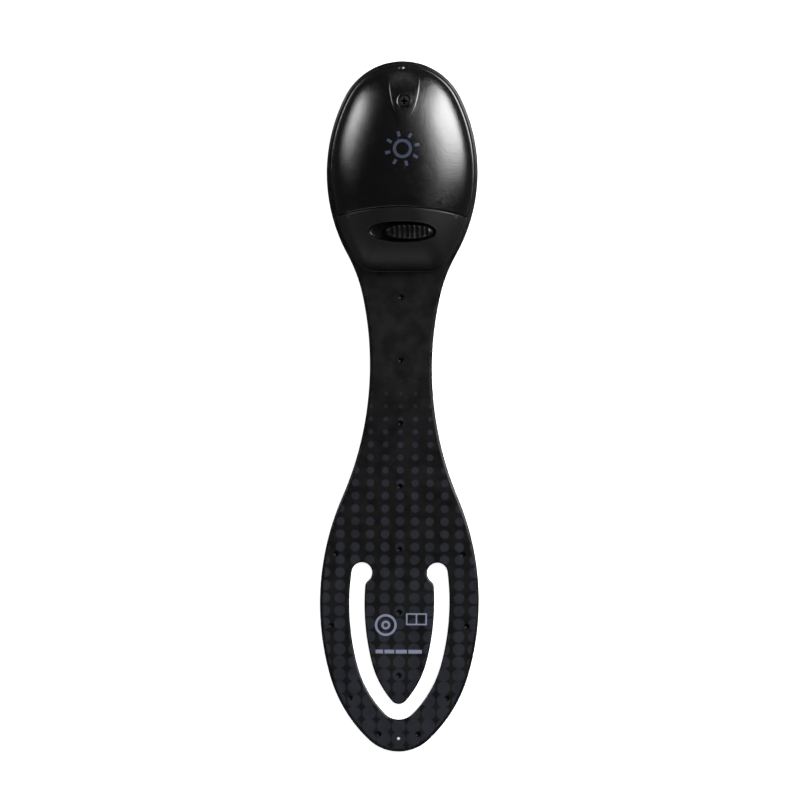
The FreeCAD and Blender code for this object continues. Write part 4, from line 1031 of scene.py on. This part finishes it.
def make_door():
    """The battery door with its screw pad, boss and lifting lug."""
    bm = carved_shell(1, DOOR_PAINT, circle(SCREW, 48)(BORE_CUT_R))
    add_screw_pad(bm)
    add_tab(bm)
    stack(bm, circle(SCREW, 40), [(BOSS_HOLE_R, BORE_FLOOR), (BOSS_HOLE_R, BOSS_END), (BOSS_R, BOSS_END),
                                  (BOSS_R, BORE_FLOOR + 0.4)])
    piece = finish_mesh(bm, "battery_door_visible", DOOR_PAINT, 40.0)
    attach(piece, "door")
    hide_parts("battery_door")


# ---- rear cover
def recess_loop(inset):
    """Rounded eye shape of the switch recess, drawn in by the inset."""
    points = []
    for angle in turns(96):
        x, y = [copysign(abs(part) ** (2 / EYE_POWER), part) for part in (cos(angle), sin(angle))]
        points.append(((RECESS_HALF - inset) * x, SWITCH_Y + (RECESS_WIDE - inset) * y))
    return points


def slot_points(count):
    """The stem slot's edge, with as many points as the recess outline."""
    left, right, half = STEM_SLOT
    middle, reach = (left + right) / 2, (right - left) / 2
    points = []
    for angle in turns(count):
        x, y = cos(angle), sin(angle)
        stretch = 1 / max(abs(x), abs(y))
        points.append((middle + reach * x * stretch, SWITCH_Y + half * y * stretch))
    return points


def lip_surface(drop):
    """Height of the cover's outside over each place, lowered by the drop."""
    return lambda x, y: dome_height(x, y) - drop


def dish_surface(share):
    """Height of the recess wall over each place, from the lip at share 0 to the floor at 1."""
    depth = sin(share * pi / 2) ** 0.6

    def height(x, y):
        top = dome_height(x, y) - 0.12
        return top + (RECESS_FLOOR - top) * depth
    return height


def add_recess(bm):
    """The switch's hollow: a soft lip on the cover, a dished wall, a floor and the stem slot."""
    profile = [(RECESS_LIP[0][0], RECESS_BOTTOM)]
    profile += [(inset, lip_surface(drop)) for inset, drop in RECESS_LIP]
    profile += [(share, dish_surface(share)) for share in (0.2, 0.4, 0.6, 0.8, 1.0)]
    rings = [ring(bm, recess_loop(inset), height) for inset, height in profile]
    rings += [ring(bm, slot_points(len(rings[0])), height) for height in (RECESS_FLOOR, RECESS_BOTTOM)]
    bridge(bm, rings, closed=True)


def broken_edges(inset, low, high, size=0.1):
    """Profile of a straight wall between two heights with slightly broken edges."""
    return [(inset + size, low), (inset, low + size), (inset, high - size), (inset + size, high)]


def tube(bm, centre, inner, outer, high):
    """A round wall with slightly broken edges that stands on the tray."""
    edge = 0.08
    low = WALL_FOOT
    corners = [(inner, low + edge), (inner + edge, low), (outer - edge, low), (outer, low + edge),
               (outer, high - edge), (outer - edge, high), (inner + edge, high), (inner, high - edge)]
    rings = [ring(bm, circle(centre, 64)(radius), height) for radius, height in corners]
    bridge(bm, rings, closed=True)


def bulkhead_loop(inset):
    """Plan of the curved wall just inside the seam."""
    half = BULKHEAD_HALF - inset
    steps = 24
    front = SEAM_R - SEAM_GAP / 2 - inset
    back = front - BULKHEAD_THICK + 2 * inset
    centre = SEAM_Y - SEAM_R
    xs = [half - 2 * half * step / steps for step in range(steps + 1)]
    return ([(x, centre + sqrt(front ** 2 - x ** 2)) for x in xs]
            + [(x, centre + sqrt(back ** 2 - x ** 2)) for x in reversed(xs)])


def make_cover():
    """The visible lower part of the shell with the switch recess."""
    bm = carved_shell(-1, COVER_PAINT, recess_loop(RECESS_CUT))
    add_recess(bm)
    piece = finish_mesh(bm, "rear_cover_visible", COVER_PAINT, 40.0)
    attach(piece, "head")
    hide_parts("rear_cover")


def make_tray():
    """The cover's inner part: plate, cell wall, screw insert's boss and bulkhead."""
    bm = bmesh.new()
    plate = stack(bm, lambda inset: shell_loop(TRAY_INSET + inset), broken_edges(0.0, *TRAY))
    half_x, half_y = SWITCH_WELL
    corners = [(half_x * x, SWITCH_Y + half_y * y) for x, y in ((1, -1), (1, 1), (-1, 1), (-1, -1))]
    well = [ring(bm, corners, height) for height in TRAY]
    bridge(bm, well)
    fill(bm, plate[0], well[0])
    fill(bm, plate[-1], well[1])
    cell_y, inner, outer, top = CELL_WALL
    tube(bm, (0.0, cell_y), inner, outer, top)
    tube(bm, SCREW, INSERT_R, INSERT_BOSS_R, INSERT_TOP)
    cap(bm, stack(bm, bulkhead_loop, broken_edges(0.0, WALL_FOOT, BULKHEAD_TOP)))
    piece = finish_mesh(bm, "cell_tray", CAD_PAINTS["inner_plastic"], 40.0)
    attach(piece, "head")
    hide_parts("rear_cover")


# ---- switch knob
def knob_height(x, y):
    """Top of the knob over its own plan: a dished crown with soft shoulders and grooves."""
    share = ((abs(x) / KNOB_HALF) ** EYE_POWER + (abs(y) / KNOB_WIDE) ** EYE_POWER) ** (1 / EYE_POWER)
    crown = KNOB_HIGH - 0.25 * (x / KNOB_HALF) ** 2 - KNOB_LOW
    body = crown * max(1 - min(share, 1.0) ** 4, 0.0) ** 0.4
    groove = (0.5 - 0.5 * cos(2 * pi * x / RIDGE_PITCH)) ** 0.4
    reach = clamped((0.86 - share) / 0.1) * clamped((RIDGE_END - abs(x)) / 0.3)
    dish = KNOB_DISH * max(1 - (share / 0.85) ** 2, 0.0)
    return KNOB_LOW + max(body - dish - RIDGE_DEPTH * groove * reach, 0.0)


def make_knob():
    """The sliding switch knob, as a fine grid over its eye-shaped plan."""
    bm = bmesh.new()
    columns = 176
    rows = 18
    grid = []
    for column in range(columns + 1):
        even = 2 * column / columns - 1
        crowded = -cos(pi * column / columns)
        x = KNOB_HALF * (0.35 * crowded + 0.65 * even)
        wide = KNOB_WIDE * max(1 - (abs(x) / KNOB_HALF) ** EYE_POWER, 0.0) ** (1 / EYE_POWER)
        line = [-wide * cos(pi * row / rows) for row in range(rows + 1)]
        grid.append([bm.verts.new((x + KNOB_X, y + SWITCH_Y, knob_height(x, y))) for y in line])
    for left, right in zip(grid, grid[1:]):
        for row in range(rows):
            bm.faces.new((left[row], right[row], right[row + 1], left[row + 1]))
    bmesh.ops.remove_doubles(bm, verts=bm.verts[:], dist=1e-5)
    bmesh.ops.holes_fill(bm, edges=[edge for edge in bm.edges if edge.is_boundary], sides=0)
    piece = finish_mesh(bm, "switch_knob_visible", KNOB_PAINT, 60.0)
    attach(piece, "switch")
    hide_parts("switch_knob")


# ---- screw, lens and bezel
def cross_points(reach, arm):
    """Plan of the cross in the screw's head."""
    points = []
    for cosine, sine in ((1, 0), (0, -1), (-1, 0), (0, 1)):
        points += [(SCREW[0] + x * cosine - y * sine, SCREW[1] + x * sine + y * cosine)
                   for x, y in ((arm, reach), (arm, arm), (reach, arm))]
    return points


def make_screw():
    """Cross-head screw with a domed head and a threaded shank."""
    bm = bmesh.new()
    low, high = SCREW_HEAD
    profile = [(radius, SHANK_END + height) for radius, height in SHANK_TIP]
    start = profile[-1][1]
    for step in range(int((low - 1.2 - start) / THREAD_PITCH)):
        foot = start + step * THREAD_PITCH
        profile += [(SHANK_R - into, foot + height) for into, height in THREAD]
    profile += [(SHANK_R - 0.1, low - 0.9), (SHANK_R - 0.1, low), (SCREW_HEAD_R - 0.05, low),
                (SCREW_HEAD_R, low + 0.06)]
    profile += [(SCREW_HEAD_R - into, high - below) for into, below in SCREW_CROWN]
    rings = stack(bm, circle(SCREW, 36), profile)
    bm.faces.new(rings[0][::-1])
    mouth = ring(bm, cross_points(CROSS_REACH, CROSS_ARM), high)
    foot = ring(bm, cross_points(CROSS_REACH * 0.6, CROSS_ARM * 0.8), high - CROSS_DEPTH)
    bridge(bm, [mouth, foot])
    bm.faces.new(foot)
    fill(bm, rings[-1], mouth)
    piece = finish_mesh(bm, "door_screw_visible", SCREW_PAINT, 40.0)
    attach(piece, "door_screw")
    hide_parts("battery_screw")


def light_rings(bm, profile):
    """Joined rings round the light's axis; a radius of 0 gives a ring of one point."""
    rings = []
    for radius, height in profile:
        points = circle((0.0, LIGHT_Y), 96)(radius) if radius else [(0.0, LIGHT_Y)]
        rings.append(ring(bm, points, height))
    for first, second in zip(rings, rings[1:]):
        tip, edge = sorted((first, second), key=len)
        if len(tip) > 1:
            bridge(bm, [first, second])
        else:
            for vert, after in zip(edge, edge[1:] + edge[:1]):
                bm.faces.new((tip[0], vert, after))
    return rings


def make_lens():
    """The round lens, slightly convex in front and hollow behind."""
    bm = bmesh.new()
    front = [(LENS_R * share, 0.16 + 0.24 * share ** 2) for share in LENS_FRONT]
    light_rings(bm, front + LENS_SIDE + LENS_REAR)
    piece = finish_mesh(bm, "lens_visible", LENS_PAINT, 50.0)
    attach(piece, "head")
    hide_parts("lens")


def make_bezel():
    """The rounded ring that holds the lens."""
    bm = bmesh.new()
    rings = light_rings(bm, BEZEL)
    bridge(bm, [rings[-1], rings[0]])
    piece = finish_mesh(bm, "lens_bezel_visible", CAD_PAINTS["shell_plastic"], 40.0)
    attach(piece, "head")
    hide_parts("lens_bezel")


# ---- stage
def make_floor():
    """A pale table, bright enough from below to stay free of shadows."""
    bm = bmesh.new()
    half = 3000.0
    bm.faces.new(ring(bm, ((-half, -half), (half, -half), (half, half), (-half, half)), -0.02))
    paint = Paint("floor")
    pale = paint.mix(paint.noise(0.01, 2.0), grey(0.88), grey(0.90))
    paint.look(Base_Color=pale, Roughness=0.9, Emission_Color=pale, Emission_Strength=0.8)
    floor = finish_mesh(bm, "floor", paint.material)
    floor.visible_glossy = False
    floor.visible_shadow = False


def add_softbox(name, bearing, distance, low, high, width, radiance):
    """An upright softbox at a compass bearing from the head, facing it."""
    lamp = bpy.data.lights.new(name, "AREA")
    lamp.shape = "RECTANGLE"
    lamp.size = width
    lamp.size_y = high - low
    lamp.energy = radiance * 4 * width * (high - low)
    angle = radians(bearing)
    place = (distance * cos(angle), LIGHT_Y * MM + distance * sin(angle), (low + high) / 2)
    place_object(name, lamp, place, (radians(90), 0.0, angle + radians(90)))


def make_lights():
    """A faint surrounding, the softboxes and a soft light from above that no gloss shows."""
    world = bpy.data.worlds.new("studio")
    bpy.context.scene.world = world
    world.use_nodes = True
    background = world.node_tree.nodes["Background"].inputs
    background[0].default_value = (1, 1, 1, 1)
    background[1].default_value = 0.03
    for softbox in SOFTBOXES:
        add_softbox(*softbox)
    lamp = bpy.data.lights.new("fill", "AREA")
    lamp.size = 1.6
    lamp.energy = 9.0
    overhead = place_object("fill", lamp, (0.0, 0.0, 1.4))
    overhead.visible_glossy = False
    overhead.visible_camera = False


def make_camera():
    """A long lens that looks straight down on the battery side."""
    camera = bpy.data.cameras.new("camera")
    camera.lens = 500.0
    camera.sensor_width = 36.0
    camera.clip_end = 10.0
    distance = VIEW_WIDTH / camera.sensor_width * camera.lens
    bpy.context.scene.camera = place_object("camera", camera, (*VIEW_CENTRE, distance),
                                            (0.0, 0.0, radians(VIEW_TILT)))


def paint_cad():
    """Give each CAD node the finish of its material slot."""
    slots = {part["node"]: part["material_slot"] for part in frame["record"]["subparts"]}
    for node, made in frame["nodes"].items():
        made.data.materials.clear()
        made.data.materials.append(CAD_PAINTS[slots[node]])


bpy.context.scene.view_settings.view_transform = "Standard"
paint_cad()
make_neck()
make_clip_frame()
make_tongue()
make_head_skin()
make_door()
make_cover()
make_tray()
make_knob()
make_screw()
make_lens()
make_bezel()
make_floor()
make_lights()
make_camera()
